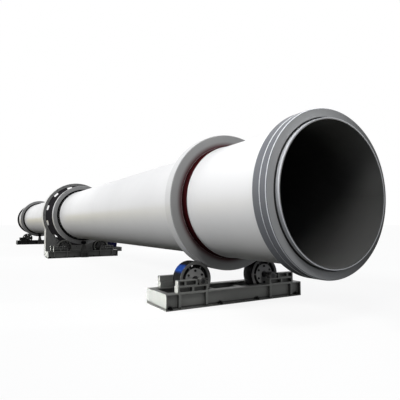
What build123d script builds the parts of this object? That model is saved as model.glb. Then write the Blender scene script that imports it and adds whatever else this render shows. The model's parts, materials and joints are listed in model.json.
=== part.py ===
# Rotary kiln on three support stations, turned by a girth gear and pinion.
# Frame: +X runs along the kiln axis to the discharge mouth, +Z is up, and the origin
# lies on the ground under the kiln axis at the middle tyre. Sizes are in millimetres.
import os
from math import acos, cos, pi, radians, sin, tan

from build123d import *

os.makedirs("parts", exist_ok=True)

# Kiln tube
SHELL_OD = 2500.0
SHELL_PLATE = 28.0
MOUTH_X = 16905.0
FEED_X = -20065.0

# Tyres and the pads they sit on; the middle tyre is at the origin, the others stand in from the tube's ends
NEAR_OVERHANG = 3155.0
FAR_OVERHANG = 4515.0
TYRE_WALL = 275.0
TYRE_WIDTH = 270.0
TYRE_CHAMFER = 12.0
PAD_THICKNESS = 29.7
PAD_PLAY = 0.3
PAD_BACK_LAP = 20.0
PAD_FRONT_LAP = 200.0
PAD_CHAMFER = 10.0

# Rings at the two ends of the tube
NOSE_WALL = 177.0
NOSE_SETBACK = 84.0
NOSE_FRONT_WIDTH = 146.0
NOSE_REAR_WIDTH = 190.0
NOSE_CHAMFER = 16.0
NOSE_GROOVE_WIDTH = 28.0
NOSE_GROOVE_DEPTH = 90.0
FEED_RING_WALL = 125.0
FEED_RING_WIDTH = 150.0

# Support rollers and their shafts
ROLLER_OD = 770.0
ROLLER_WIDTH = 330.0
ROLLER_ANGLE = radians(29.3)
ROLLER_CHAMFER = 6.0
ROLLING_GAP = 0.4
RIM_WALL = 65.0
RIB_SPAN = 80.0
HUB_SETBACK = 20.0
WEB = 70.0
RIBS = 6
RIB_THICKNESS = 26.0
RIB_SETBACK = 30.0
WEB_HOLE_MARGIN = 10.0
JOURNAL_D = 104.0
SEAT_STEP = 23.0
SHAFT_SETBACK = 5.0
SHAFT_CHAMFER = 6.0

# Base frames under the stations
BASE_WIDTH = 980.0
BASE_HEIGHT = 330.0
BASE_END_LAP = 255.0
BEAM_WIDTH = 180.0
FLANGE = 24.0
BEAM_WEB = 20.0
STIFFENER = 50.0
END_PLATE = 24.0
END_FLANGE_WIDTH = 120.0
TIE_WIDTH = 120.0
TIE_HEIGHT = 180.0
TIE_GAP = 125.0
ANCHOR_D = 46.0
ANCHOR_END = 110.0
ANCHOR_INNER_GAP = 335.0

# Bearing pedestals and bearings, set out from the roller axis
LOWER_INNER_LAP = 115.0
LOWER_OUTER_LAP = 595.0
LOWER_HEIGHT = 130.0
LOWER_DEPTH = 145.0
UPPER_INNER_GAP = 140.0
UPPER_HEIGHT = 120.0
UPPER_DEPTH = 115.0
PEDESTAL_POST = 40.0
PEDESTAL_FLANGE = 20.0
PEDESTAL_BACK = 30.0
BEARING_SOLE = 16.0
BEARING_WIDTH = 120.0
BEARING_WALL = 28.0
BEARING_FOOT_LAP = 15.0
BEARING_EAR = 40.0
BEARING_EAR_HEIGHT = 36.0
RUNNING_FIT = 0.3

# Girth gear and its pinion
MODULE = 25.0
GEAR_RISE = 500.0
GEAR_FLANK_POINTS = 2
PINION_TEETH = 21
PINION_FLANK_POINTS = 4
PRESSURE_ANGLE = radians(20.0)
DEDENDUM = 1.25
BACKLASH = 3.0
GEAR_X = -1615.0
GEAR_WIDTH = 300.0
GEAR_RIM_WALL = 48.75
GEAR_WEB = 40.0
GEAR_HUB_WALL = 36.0
GEAR_HUB_SETBACK = 80.0
SLOTS = 12
SLOT_INSET = 65.0
SLOT_LENGTH = 280.0
SLOT_WIDTH = 90.0
PINION_OVERLAP = 20.0
PINION_SHAFT_D = 120.0

# Guard round the girth gear
GUARD_TIP_CLEARANCE = 33.0
GUARD_SIDE_CLEARANCE = 88.0
GUARD_HOLE_RISE = 10.0
GUARD_LEG_INSET = 170.0
GUARD_PLATE = 12.0
GUARD_SHAFT_PLAY = 15.0

# Pinion shaft, its stands and its coupling
PINION_STUB = 90.0
PINION_REAR_GAP = 0.3
STAND_GAP = 115.0
STAND_WIDTH = 200.0
STAND_SHOULDER = 20.0
STAND_FLARE = 80.0
STAND_SOLE = 40.0
STAND_SOLE_LAP = 60.0
PINION_BEARING_WALL = 70.0
COUPLING_HUB_WALL = 55.0
COUPLING_FLANGE_RISE = 75.0
COUPLING_FLANGE = 70.0
COUPLING_LENGTH = 320.0
COUPLING_SETBACK = 150.0

# Drive behind the girth gear: plinth, reducer, motor and the coupling guard between them
PLINTH_GEAR_GAP = 1555.0
PLINTH_HEIGHT = 260.0
PLINTH_FLANGE = 26.0
PLINTH_RECESS = 60.0
PLINTH_BAYS = 3
PLINTH_FRONT_LAP = 70.0
PLINTH_BACK_LAP = 140.0
PLINTH_INNER_LAP = 184.0
PLINTH_OUTER_LAP = 300.0
REDUCER_LENGTH = 660.0
REDUCER_RISE = 311.5
REDUCER_SPREAD = 1646.0
REDUCER_BIG_WALL = 210.0
REDUCER_SMALL_WALL = 45.0
REDUCER_FLANGE = 36.0
REDUCER_FLANGE_LAP = 45.0
REDUCER_BOSS_WALL = 70.0
REDUCER_BOSS = 60.0
MOTOR_LENGTH = 780.0
MOTOR_D = 360.0
MOTOR_LIFT = 30.0
MOTOR_FINS = 24
MOTOR_FIN = 10.0
MOTOR_FIN_HEIGHT = 18.0
MOTOR_BELL = 130.0
MOTOR_FOOT_WIDTH = 110.0
MOTOR_BOX = 150.0
MOTOR_COUPLING_LENGTH = 120.0

# Thrust roller that holds the middle tyre along the axis
THRUST_D = 260.0
THRUST_HEIGHT = 140.0
THRUST_CHAMFER = 10.0
THRUST_PIN_D = 90.0
THRUST_ABOVE_TYRE = 25.0
THRUST_SADDLE = 40.0
THRUST_SADDLE_WIDTH = 260.0
THRUST_NECK_WIDTH = 150.0
THRUST_GAP = 5.0
THRUST_PIN_HEAD = 40.0
THRUST_FOOT_WIDTH = 360.0
THRUST_FOOT_HEIGHT = 280.0
THRUST_FOOT_DEPTH = 150.0
THRUST_FOOT_WALL = 50.0

# Tube, tyres and rings, from those above
STATIONS = {"near": MOUTH_X - NEAR_OVERHANG, "mid": 0.0, "far": FEED_X + FAR_OVERHANG}
SHELL_R = SHELL_OD / 2
PAD_R = SHELL_R + PAD_THICKNESS
TYRE_BORE_R = PAD_R + PAD_PLAY
TYRE_R = TYRE_BORE_R + TYRE_WALL
NOSE_R = SHELL_R + NOSE_WALL
NOSE_GROOVE_R = SHELL_R + NOSE_GROOVE_WIDTH

# Rollers, and the height of the kiln axis that they set
ROLLER_R = ROLLER_OD / 2
RECESS_R = ROLLER_R - RIM_WALL
HUB_R = RECESS_R - RIB_SPAN
RIB_RADIUS = (HUB_R + RECESS_R) / 2
WEB_HOLE_D = RIB_SPAN - 2 * WEB_HOLE_MARGIN
SEAT_D = JOURNAL_D + 2 * SEAT_STEP
SHAFT_LENGTH = BASE_WIDTH - 2 * SHAFT_SETBACK
LOWER_TOP = BASE_HEIGHT + LOWER_HEIGHT
ROLLER_Z = LOWER_TOP + BEARING_SOLE + JOURNAL_D / 2
ROLLER_REACH = TYRE_R + ROLLER_R + ROLLING_GAP
ROLLER_HALF_SPACING = ROLLER_REACH * sin(ROLLER_ANGLE)
AXIS_HEIGHT = ROLLER_Z + ROLLER_REACH * cos(ROLLER_ANGLE)

# Base frames and pedestals
PEDESTAL_INNER = ROLLER_HALF_SPACING - LOWER_INNER_LAP
PEDESTAL_OUTER = ROLLER_HALF_SPACING + LOWER_OUTER_LAP
UPPER_INNER = ROLLER_HALF_SPACING + UPPER_INNER_GAP
BASE_LENGTH = 2 * (PEDESTAL_OUTER + BASE_END_LAP)
BEAM_X = BASE_WIDTH / 2 - BEAM_WIDTH / 2
FLANGE_MID_X = BEAM_X + BEAM_WIDTH / 4
TIE_Y = ROLLER_HALF_SPACING - ROLLER_R - TIE_GAP - TIE_WIDTH / 2
ANCHOR_Y = (BASE_LENGTH / 2 - ANCHOR_END, PEDESTAL_INNER - ANCHOR_INNER_GAP)
BEARING_R = JOURNAL_D / 2 + BEARING_WALL
BEARING_FOOT = 2 * (BEARING_R + BEARING_FOOT_LAP)

# Girth gear, pinion and guard
GEAR_TEETH = round(2 * (SHELL_R + GEAR_RISE) / MODULE)
GEAR_PITCH_R = MODULE * GEAR_TEETH / 2
GEAR_BORE_R = GEAR_PITCH_R - DEDENDUM * MODULE - GEAR_RIM_WALL
GEAR_HUB_WIDTH = GEAR_WIDTH - GEAR_HUB_SETBACK
SLOT_RADIUS = GEAR_BORE_R - SLOT_INSET
PINION_WIDTH = GEAR_WIDTH + 2 * PINION_OVERLAP
PINION_REACH = MODULE * (GEAR_TEETH + PINION_TEETH) / 2
PINION_Z = PLINTH_HEIGHT + REDUCER_RISE
PINION_ANGLE = acos((AXIS_HEIGHT - PINION_Z) / PINION_REACH)
PINION_Y = PINION_REACH * sin(PINION_ANGLE)
MESH_ANGLE = PINION_ANGLE - pi / 2
GUARD_R = GEAR_PITCH_R + MODULE + GUARD_TIP_CLEARANCE + GUARD_PLATE
GUARD_HOLE_R = GEAR_BORE_R + GUARD_HOLE_RISE
GUARD_LEG_HALF = GUARD_R - GUARD_LEG_INSET
GUARD_DEPTH = GEAR_WIDTH + 2 * (GUARD_SIDE_CLEARANCE + GUARD_PLATE)
GUARD_FRONT_X = GEAR_X + GUARD_DEPTH / 2
GUARD_BACK_X = GEAR_X - GUARD_DEPTH / 2

# Pinion shaft and drive, set out backwards from the girth gear
STAND_REACH = GUARD_DEPTH / 2 + STAND_GAP + STAND_WIDTH / 2
STAND_X = (GEAR_X + STAND_REACH, GEAR_X - STAND_REACH)
PINION_FRONT_X = STAND_X[0] + STAND_WIDTH / 2 + PINION_STUB
PINION_BEARING_R = PINION_SHAFT_D / 2 + PINION_BEARING_WALL
STAND_TOP_HALF = PINION_BEARING_R + STAND_SHOULDER
STAND_FOOT_HALF = STAND_TOP_HALF + STAND_FLARE
COUPLING_HUB_R = PINION_SHAFT_D / 2 + COUPLING_HUB_WALL
COUPLING_R = COUPLING_HUB_R + COUPLING_FLANGE_RISE
PLINTH_FRONT_X = GEAR_X - PLINTH_GEAR_GAP
MOTOR_FRONT_X = PLINTH_FRONT_X - PLINTH_FRONT_LAP
MOTOR_BACK_X = MOTOR_FRONT_X - MOTOR_LENGTH
BOSS_FRONT_X = MOTOR_BACK_X - MOTOR_COUPLING_LENGTH
REDUCER_FRONT_X = BOSS_FRONT_X - REDUCER_BOSS
REDUCER_BACK_X = REDUCER_FRONT_X - REDUCER_LENGTH
PLINTH_BACK_X = REDUCER_BACK_X - PLINTH_BACK_LAP
PINION_REAR_X = BOSS_FRONT_X + PINION_REAR_GAP
MOTOR_Y = PINION_Y + REDUCER_SPREAD
MOTOR_Z = PLINTH_HEIGHT + MOTOR_LIFT + MOTOR_D / 2
REDUCER_BOSS_R = PINION_SHAFT_D / 2 + REDUCER_BOSS_WALL
REDUCER_BIG_R = PINION_SHAFT_D / 2 + REDUCER_BIG_WALL
REDUCER_SMALL_R = REDUCER_BOSS_R + REDUCER_SMALL_WALL
PLINTH_INNER_Y = PINION_Y - REDUCER_BIG_R - PLINTH_INNER_LAP
PLINTH_OUTER_Y = MOTOR_Y + MOTOR_D / 2 + PLINTH_OUTER_LAP

# Thrust roller
THRUST_X = TYRE_WIDTH / 2 + THRUST_D / 2 + ROLLING_GAP
THRUST_Z = AXIS_HEIGHT - TYRE_R + THRUST_ABOVE_TYRE

KILN_AXIS = Axis((0, 0, AXIS_HEIGHT), (1, 0, 0))
KILN_SECTION = Plane(origin=(0, 0, AXIS_HEIGHT), x_dir=(1, 0, 0), z_dir=(0, -1, 0))
SIDES = {"left": -1, "right": 1}
CORNERS = ((1, 1), (1, -1), (-1, 1), (-1, -1))


def tooth_outline(teeth, flank_points, phase):
    """Points of an involute gear outline that has a tooth centred on the angle `phase`."""
    pitch_r = MODULE * teeth / 2
    base_r = pitch_r * cos(PRESSURE_ANGLE)
    root_r = pitch_r - DEDENDUM * MODULE
    tip_r = pitch_r + MODULE
    half = (pi * MODULE - BACKLASH) / 4 / pitch_r
    involute = tan(PRESSURE_ANGLE) - PRESSURE_ANGLE
    start_r = max(root_r, base_r)
    flank = []
    if start_r > root_r:
        flank.append((root_r, half + involute))
    for step in range(flank_points):
        radius = start_r + (tip_r - start_r) * step / (flank_points - 1)
        roll = acos(base_r / radius)
        flank.append((radius, half + involute - tan(roll) + roll))
    points = []
    for tooth in range(teeth):
        centre = phase + 2 * pi * tooth / teeth
        for radius, angle in flank:
            points.append((radius * cos(centre - angle), radius * sin(centre - angle)))
        for radius, angle in reversed(flank):
            points.append((radius * cos(centre + angle), radius * sin(centre + angle)))
    return points


# Shell: one plate tube from the feed end to the discharge lip
with BuildPart() as shell:
    with BuildSketch(Plane.YZ.offset(FEED_X)):
        with Locations((0, AXIS_HEIGHT)):
            Circle(SHELL_R)
            Circle(SHELL_R - SHELL_PLATE, mode=Mode.SUBTRACT)
    extrude(amount=MOUTH_X - FEED_X)
shell.part.label = "shell"
export_step(shell.part, "parts/shell.step")

# Nose ring: a front band with a groove round the lip, and a rear band
nose_face = MOUTH_X - NOSE_SETBACK
nose_joint = nose_face - NOSE_FRONT_WIDTH
with BuildPart() as nose_ring_front:
    with BuildSketch(KILN_SECTION):
        with BuildLine():
            Polyline(
                (nose_joint, SHELL_R),
                (nose_joint, NOSE_R - NOSE_CHAMFER),
                (nose_joint + NOSE_CHAMFER, NOSE_R),
                (nose_face - NOSE_CHAMFER, NOSE_R),
                (nose_face, NOSE_R - NOSE_CHAMFER),
                (nose_face, NOSE_GROOVE_R),
                (nose_face - NOSE_GROOVE_DEPTH, NOSE_GROOVE_R),
                (nose_face - NOSE_GROOVE_DEPTH, SHELL_R),
                close=True,
            )
        make_face()
    revolve(axis=KILN_AXIS)
nose_ring_front.part.label = "nose_ring_front"
export_step(nose_ring_front.part, "parts/nose_ring_front.step")

with BuildPart() as nose_ring_rear:
    with BuildSketch(Plane.YZ.offset(nose_joint - NOSE_REAR_WIDTH)):
        with Locations((0, AXIS_HEIGHT)):
            Circle(NOSE_R)
            Circle(SHELL_R, mode=Mode.SUBTRACT)
    extrude(amount=NOSE_REAR_WIDTH)
    rims = nose_ring_rear.edges().filter_by(GeomType.CIRCLE).group_by(SortBy.RADIUS)[-1]
    chamfer(rims, length=NOSE_CHAMFER)
nose_ring_rear.part.label = "nose_ring_rear"
export_step(nose_ring_rear.part, "parts/nose_ring_rear.step")

# Feed ring at the far end of the tube
with BuildPart() as feed_ring:
    with BuildSketch(Plane.YZ.offset(FEED_X)):
        with Locations((0, AXIS_HEIGHT)):
            Circle(SHELL_R + FEED_RING_WALL)
            Circle(SHELL_R, mode=Mode.SUBTRACT)
    extrude(amount=FEED_RING_WIDTH)
feed_ring.part.label = "feed_ring"
export_step(feed_ring.part, "parts/feed_ring.step")

# Tyres, loose on the pads welded round the shell
for station, station_x in STATIONS.items():
    with BuildPart() as tyre:
        with BuildSketch(Plane.YZ.offset(station_x - TYRE_WIDTH / 2)):
            with Locations((0, AXIS_HEIGHT)):
                Circle(TYRE_R)
                Circle(TYRE_BORE_R, mode=Mode.SUBTRACT)
        extrude(amount=TYRE_WIDTH)
        rims = tyre.edges().filter_by(GeomType.CIRCLE).group_by(SortBy.RADIUS)[-1]
        chamfer(rims, length=TYRE_CHAMFER)
    tyre.part.label = f"{station}_tyre"
    export_step(tyre.part, f"parts/{station}_tyre.step")

    pad_back = TYRE_WIDTH / 2 + PAD_BACK_LAP
    pad_front = TYRE_WIDTH / 2 + PAD_FRONT_LAP
    with BuildPart() as pads:
        with BuildSketch(Plane.YZ.offset(station_x - pad_back)):
            with Locations((0, AXIS_HEIGHT)):
                Circle(PAD_R)
                Circle(SHELL_R, mode=Mode.SUBTRACT)
        extrude(amount=pad_back + pad_front)
        rims = pads.edges().filter_by(GeomType.CIRCLE).group_by(SortBy.RADIUS)[-1]
        chamfer(rims, length=PAD_CHAMFER)
    pads.part.label = f"{station}_pads"
    export_step(pads.part, f"parts/{station}_pads.step")

# Support rollers with ribbed webs, and their shafts
for station, station_x in STATIONS.items():
    for side_name, side in SIDES.items():
        roller_y = side * ROLLER_HALF_SPACING
        with BuildPart() as roller:
            with BuildSketch(Plane.YZ.offset(station_x - ROLLER_WIDTH / 2)):
                with Locations((roller_y, ROLLER_Z)):
                    Circle(ROLLER_R)
            extrude(amount=ROLLER_WIDTH)
            rims = roller.edges().filter_by(GeomType.CIRCLE)
            chamfer(rims, length=ROLLER_CHAMFER)
            for facing in (1, -1):
                face = Plane.YZ.offset(station_x + facing * ROLLER_WIDTH / 2)
                with BuildSketch(face):
                    with Locations((roller_y, ROLLER_Z)):
                        Circle(RECESS_R)
                extrude(amount=-facing * HUB_SETBACK, mode=Mode.SUBTRACT)
                with BuildSketch(face):
                    with Locations((roller_y, ROLLER_Z)):
                        Circle(RECESS_R)
                        Circle(HUB_R, mode=Mode.SUBTRACT)
                extrude(amount=-facing * (ROLLER_WIDTH - WEB) / 2, mode=Mode.SUBTRACT)
                with BuildSketch(Plane.YZ.offset(station_x + facing * WEB / 2)):
                    with Locations((roller_y, ROLLER_Z)):
                        with PolarLocations(RIB_RADIUS, RIBS):
                            Rectangle(RIB_SPAN + RIB_THICKNESS, RIB_THICKNESS)
                extrude(amount=facing * ((ROLLER_WIDTH - WEB) / 2 - RIB_SETBACK))
            with BuildSketch(Plane.YZ.offset(station_x - ROLLER_WIDTH / 2)):
                with Locations((roller_y, ROLLER_Z)):
                    Circle(SEAT_D / 2)
                    with PolarLocations(RIB_RADIUS, RIBS, start_angle=180 / RIBS):
                        Circle(WEB_HOLE_D / 2)
            extrude(amount=ROLLER_WIDTH, mode=Mode.SUBTRACT)
        roller.part.label = f"{station}_{side_name}_roller"
        export_step(roller.part, f"parts/{station}_{side_name}_roller.step")

        seat_width = ROLLER_WIDTH - 2 * HUB_SETBACK
        with BuildPart() as shaft:
            with BuildSketch(Plane.YZ.offset(station_x - SHAFT_LENGTH / 2)):
                with Locations((roller_y, ROLLER_Z)):
                    Circle(JOURNAL_D / 2)
            extrude(amount=SHAFT_LENGTH)
            chamfer(shaft.edges().filter_by(GeomType.CIRCLE), length=SHAFT_CHAMFER)
            with BuildSketch(Plane.YZ.offset(station_x - seat_width / 2)):
                with Locations((roller_y, ROLLER_Z)):
                    Circle(SEAT_D / 2)
            extrude(amount=seat_width)
        shaft.part.label = f"{station}_{side_name}_shaft"
        export_step(shaft.part, f"parts/{station}_{side_name}_shaft.step")

# Base frames, bearing pedestals and bearings of each station
lower_length = PEDESTAL_OUTER - PEDESTAL_INNER
lower_pocket = (lower_length - 3 * PEDESTAL_POST) / 2
upper_length = PEDESTAL_OUTER - UPPER_INNER
upper_pocket = (upper_length - 3 * PEDESTAL_POST) / 3
for station, station_x in STATIONS.items():
    with BuildPart() as base:
        with BuildSketch(Plane.XZ):
            for side in SIDES.values():
                beam_x = station_x + side * BEAM_X
                with Locations((beam_x, FLANGE / 2), (beam_x, BASE_HEIGHT - FLANGE / 2)):
                    Rectangle(BEAM_WIDTH, FLANGE)
                with Locations((beam_x, BASE_HEIGHT / 2)):
                    Rectangle(BEAM_WEB, BASE_HEIGHT)
        extrude(amount=BASE_LENGTH / 2, both=True)
        for side in SIDES.values():
            with Locations((station_x, side * (BASE_LENGTH - END_PLATE) / 2, BASE_HEIGHT / 2)):
                Box(BASE_WIDTH, END_PLATE, BASE_HEIGHT)
            with Locations((station_x, side * (BASE_LENGTH - END_FLANGE_WIDTH) / 2, BASE_HEIGHT - FLANGE / 2)):
                Box(2 * BEAM_X, END_FLANGE_WIDTH, FLANGE)
            with Locations((station_x, side * TIE_Y, BASE_HEIGHT / 2)):
                Box(2 * BEAM_X, TIE_WIDTH, TIE_HEIGHT)
        for side_x, side_y in CORNERS:
            flange_x = station_x + side_x * FLANGE_MID_X
            for stiffener_y in (PEDESTAL_OUTER - STIFFENER, PEDESTAL_INNER + STIFFENER / 2):
                with Locations((flange_x, side_y * stiffener_y, BASE_HEIGHT / 2)):
                    Box(BEAM_WIDTH / 2, STIFFENER, BASE_HEIGHT)
            for anchor_y in ANCHOR_Y:
                with Locations((flange_x, side_y * anchor_y, FLANGE / 2)):
                    Cylinder(ANCHOR_D / 2, FLANGE, mode=Mode.SUBTRACT)
    base.part.label = f"{station}_base"
    export_step(base.part, f"parts/{station}_base.step")

    with BuildPart() as pedestals:
        for side_x, side_y in CORNERS:
            outer_x = station_x + side_x * BASE_WIDTH / 2
            lower_x = outer_x - side_x * LOWER_DEPTH / 2
            lower_z = BASE_HEIGHT + LOWER_HEIGHT / 2
            upper_x = outer_x - side_x * UPPER_DEPTH / 2
            upper_z = LOWER_TOP + UPPER_HEIGHT / 2
            with Locations((lower_x, side_y * (PEDESTAL_INNER + lower_length / 2), lower_z)):
                Box(LOWER_DEPTH, lower_length, LOWER_HEIGHT)
            with Locations((upper_x, side_y * (UPPER_INNER + upper_length / 2), upper_z)):
                Box(UPPER_DEPTH, upper_length, UPPER_HEIGHT)
            inner_y = PEDESTAL_INNER + PEDESTAL_POST + lower_pocket / 2
            outer_y = PEDESTAL_OUTER - PEDESTAL_POST - lower_pocket / 2
            for pocket_y in (inner_y, outer_y):
                with Locations((lower_x + side_x * PEDESTAL_BACK, side_y * pocket_y, lower_z)):
                    Box(LOWER_DEPTH, lower_pocket, LOWER_HEIGHT - 2 * PEDESTAL_FLANGE, mode=Mode.SUBTRACT)
            inner_y = UPPER_INNER + PEDESTAL_POST + upper_pocket
            outer_y = PEDESTAL_OUTER - PEDESTAL_POST - upper_pocket / 2
            for pocket_y, pocket_length in ((inner_y, 2 * upper_pocket), (outer_y, upper_pocket)):
                with Locations((upper_x + side_x * PEDESTAL_BACK, side_y * pocket_y, upper_z)):
                    Box(UPPER_DEPTH, pocket_length, UPPER_HEIGHT - 2 * PEDESTAL_FLANGE, mode=Mode.SUBTRACT)
    pedestals.part.label = f"{station}_pedestals"
    export_step(pedestals.part, f"parts/{station}_pedestals.step")

    with BuildPart() as bearings:
        for side_x, side_y in CORNERS:
            bearing_x = station_x + side_x * (BASE_WIDTH - LOWER_DEPTH) / 2
            bearing_y = side_y * ROLLER_HALF_SPACING
            with BuildSketch(Plane.YZ.offset(bearing_x - BEARING_WIDTH / 2)):
                with Locations((bearing_y, ROLLER_Z)):
                    Circle(BEARING_R)
                with Locations((bearing_y, LOWER_TOP - BEARING_R)):
                    Rectangle(BEARING_FOOT, 2 * BEARING_R, mode=Mode.SUBTRACT)
                with Locations((bearing_y, (LOWER_TOP + ROLLER_Z) / 2)):
                    Rectangle(BEARING_FOOT, ROLLER_Z - LOWER_TOP)
                with Locations((bearing_y, ROLLER_Z)):
                    Rectangle(2 * (BEARING_R + BEARING_EAR), BEARING_EAR_HEIGHT)
                    Circle(JOURNAL_D / 2 + RUNNING_FIT, mode=Mode.SUBTRACT)
            extrude(amount=BEARING_WIDTH)
    bearings.part.label = f"{station}_bearings"
    export_step(bearings.part, f"parts/{station}_bearings.step")

# Girth gear: toothed rim, and the slotted web with a hub that carries it on the shell
with BuildPart() as gear_rim:
    with BuildSketch(Plane.YZ.offset(GEAR_X - GEAR_WIDTH / 2)):
        with Locations((0, AXIS_HEIGHT)):
            Polygon(*tooth_outline(GEAR_TEETH, GEAR_FLANK_POINTS, MESH_ANGLE), align=None)
            Circle(GEAR_BORE_R, mode=Mode.SUBTRACT)
    extrude(amount=GEAR_WIDTH)
gear_rim.part.label = "gear_rim"
export_step(gear_rim.part, "parts/gear_rim.step")

with BuildPart() as gear_web:
    with BuildSketch(Plane.YZ.offset(GEAR_X + GEAR_WIDTH / 2 - GEAR_WEB)):
        with Locations((0, AXIS_HEIGHT)):
            Circle(GEAR_BORE_R)
            with PolarLocations(SLOT_RADIUS, SLOTS, start_angle=180 / SLOTS):
                SlotOverall(SLOT_LENGTH, SLOT_WIDTH, rotation=90, mode=Mode.SUBTRACT)
    extrude(amount=GEAR_WEB)
    with BuildSketch(Plane.YZ.offset(GEAR_X + GEAR_WIDTH / 2 - GEAR_HUB_WIDTH)):
        with Locations((0, AXIS_HEIGHT)):
            Circle(SHELL_R + GEAR_HUB_WALL)
    extrude(amount=GEAR_HUB_WIDTH)
    with BuildSketch(Plane.YZ.offset(GEAR_X - GEAR_WIDTH / 2)):
        with Locations((0, AXIS_HEIGHT)):
            Circle(SHELL_R)
    extrude(amount=GEAR_WIDTH, mode=Mode.SUBTRACT)
gear_web.part.label = "gear_web"
export_step(gear_web.part, "parts/gear_web.step")

# Pinion, in mesh with the girth gear at rest: a tooth space of it faces a tooth of the gear
pinion_phase = MESH_ANGLE + pi + pi / PINION_TEETH
with BuildPart() as pinion:
    with BuildSketch(Plane.YZ.offset(GEAR_X - PINION_WIDTH / 2)):
        with Locations((PINION_Y, PINION_Z)):
            Polygon(*tooth_outline(PINION_TEETH, PINION_FLANK_POINTS, pinion_phase), align=None)
            Circle(PINION_SHAFT_D / 2, mode=Mode.SUBTRACT)
    extrude(amount=PINION_WIDTH)
pinion.part.label = "pinion"
export_step(pinion.part, "parts/pinion.step")

# Pinion shaft with a flanged coupling
pinion_axis = Axis((0, PINION_Y, PINION_Z), (1, 0, 0))
coupling_back = PINION_REAR_X + COUPLING_SETBACK
coupling_front = coupling_back + COUPLING_LENGTH
flange_back = (coupling_back + coupling_front - COUPLING_FLANGE) / 2
flange_front = flange_back + COUPLING_FLANGE
with BuildPart() as pinion_shaft:
    with BuildSketch(Plane(origin=(0, PINION_Y, PINION_Z), x_dir=(1, 0, 0), z_dir=(0, -1, 0))):
        with BuildLine():
            Polyline(
                (PINION_REAR_X, 0),
                (PINION_REAR_X, PINION_SHAFT_D / 2),
                (coupling_back, PINION_SHAFT_D / 2),
                (coupling_back, COUPLING_HUB_R),
                (flange_back, COUPLING_HUB_R),
                (flange_back, COUPLING_R),
                (flange_front, COUPLING_R),
                (flange_front, COUPLING_HUB_R),
                (coupling_front, COUPLING_HUB_R),
                (coupling_front, PINION_SHAFT_D / 2),
                (PINION_FRONT_X, PINION_SHAFT_D / 2),
                (PINION_FRONT_X, 0),
                close=True,
            )
        make_face()
    revolve(axis=pinion_axis)
pinion_shaft.part.label = "pinion_shaft"
export_step(pinion_shaft.part, "parts/pinion_shaft.step")

# Pinion stands: a tapered pedestal with a bearing on each side of the guard
with BuildPart() as pinion_stands:
    for stand_x in STAND_X:
        with BuildSketch(Plane.YZ.offset(stand_x - STAND_WIDTH / 2)):
            with BuildLine():
                Polyline(
                    (PINION_Y - STAND_FOOT_HALF, 0),
                    (PINION_Y + STAND_FOOT_HALF, 0),
                    (PINION_Y + STAND_TOP_HALF, PINION_Z),
                    (PINION_Y - STAND_TOP_HALF, PINION_Z),
                    close=True,
                )
            make_face()
            with Locations((PINION_Y, STAND_SOLE / 2)):
                Rectangle(2 * (STAND_FOOT_HALF + STAND_SOLE_LAP), STAND_SOLE)
            with Locations((PINION_Y, PINION_Z)):
                Circle(PINION_BEARING_R)
                Circle(PINION_SHAFT_D / 2 + RUNNING_FIT, mode=Mode.SUBTRACT)
        extrude(amount=STAND_WIDTH)
pinion_stands.part.label = "pinion_stands"
export_step(pinion_stands.part, "parts/pinion_stands.step")

# Gear guard: two face plates and the cover bent round their edge
for plate_name, plate_x in (("guard_front", GUARD_FRONT_X - GUARD_PLATE), ("guard_back", GUARD_BACK_X)):
    with BuildPart() as guard_plate:
        with BuildSketch(Plane.YZ.offset(plate_x)):
            with Locations((0, AXIS_HEIGHT)):
                Circle(GUARD_R)
            with Locations((0, AXIS_HEIGHT / 2)):
                Rectangle(2 * GUARD_LEG_HALF, AXIS_HEIGHT)
            with Locations((0, AXIS_HEIGHT)):
                Circle(GUARD_HOLE_R, mode=Mode.SUBTRACT)
            with Locations((PINION_Y, PINION_Z)):
                Circle(PINION_SHAFT_D / 2 + GUARD_SHAFT_PLAY, mode=Mode.SUBTRACT)
        extrude(amount=GUARD_PLATE)
    guard_plate.part.label = plate_name
    export_step(guard_plate.part, f"parts/{plate_name}.step")

with BuildPart() as guard_cover:
    with BuildSketch(Plane.YZ.offset(GUARD_BACK_X + GUARD_PLATE)):
        with Locations((0, AXIS_HEIGHT)):
            Circle(GUARD_R)
        with Locations((0, AXIS_HEIGHT / 2)):
            Rectangle(2 * GUARD_LEG_HALF, AXIS_HEIGHT)
        with Locations((0, AXIS_HEIGHT)):
            Circle(GUARD_R - GUARD_PLATE, mode=Mode.SUBTRACT)
        with Locations((0, AXIS_HEIGHT / 2)):
            Rectangle(2 * (GUARD_LEG_HALF - GUARD_PLATE), AXIS_HEIGHT, mode=Mode.SUBTRACT)
    extrude(amount=GUARD_DEPTH - 2 * GUARD_PLATE)
guard_cover.part.label = "guard_cover"
export_step(guard_cover.part, "parts/guard_cover.step")

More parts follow.
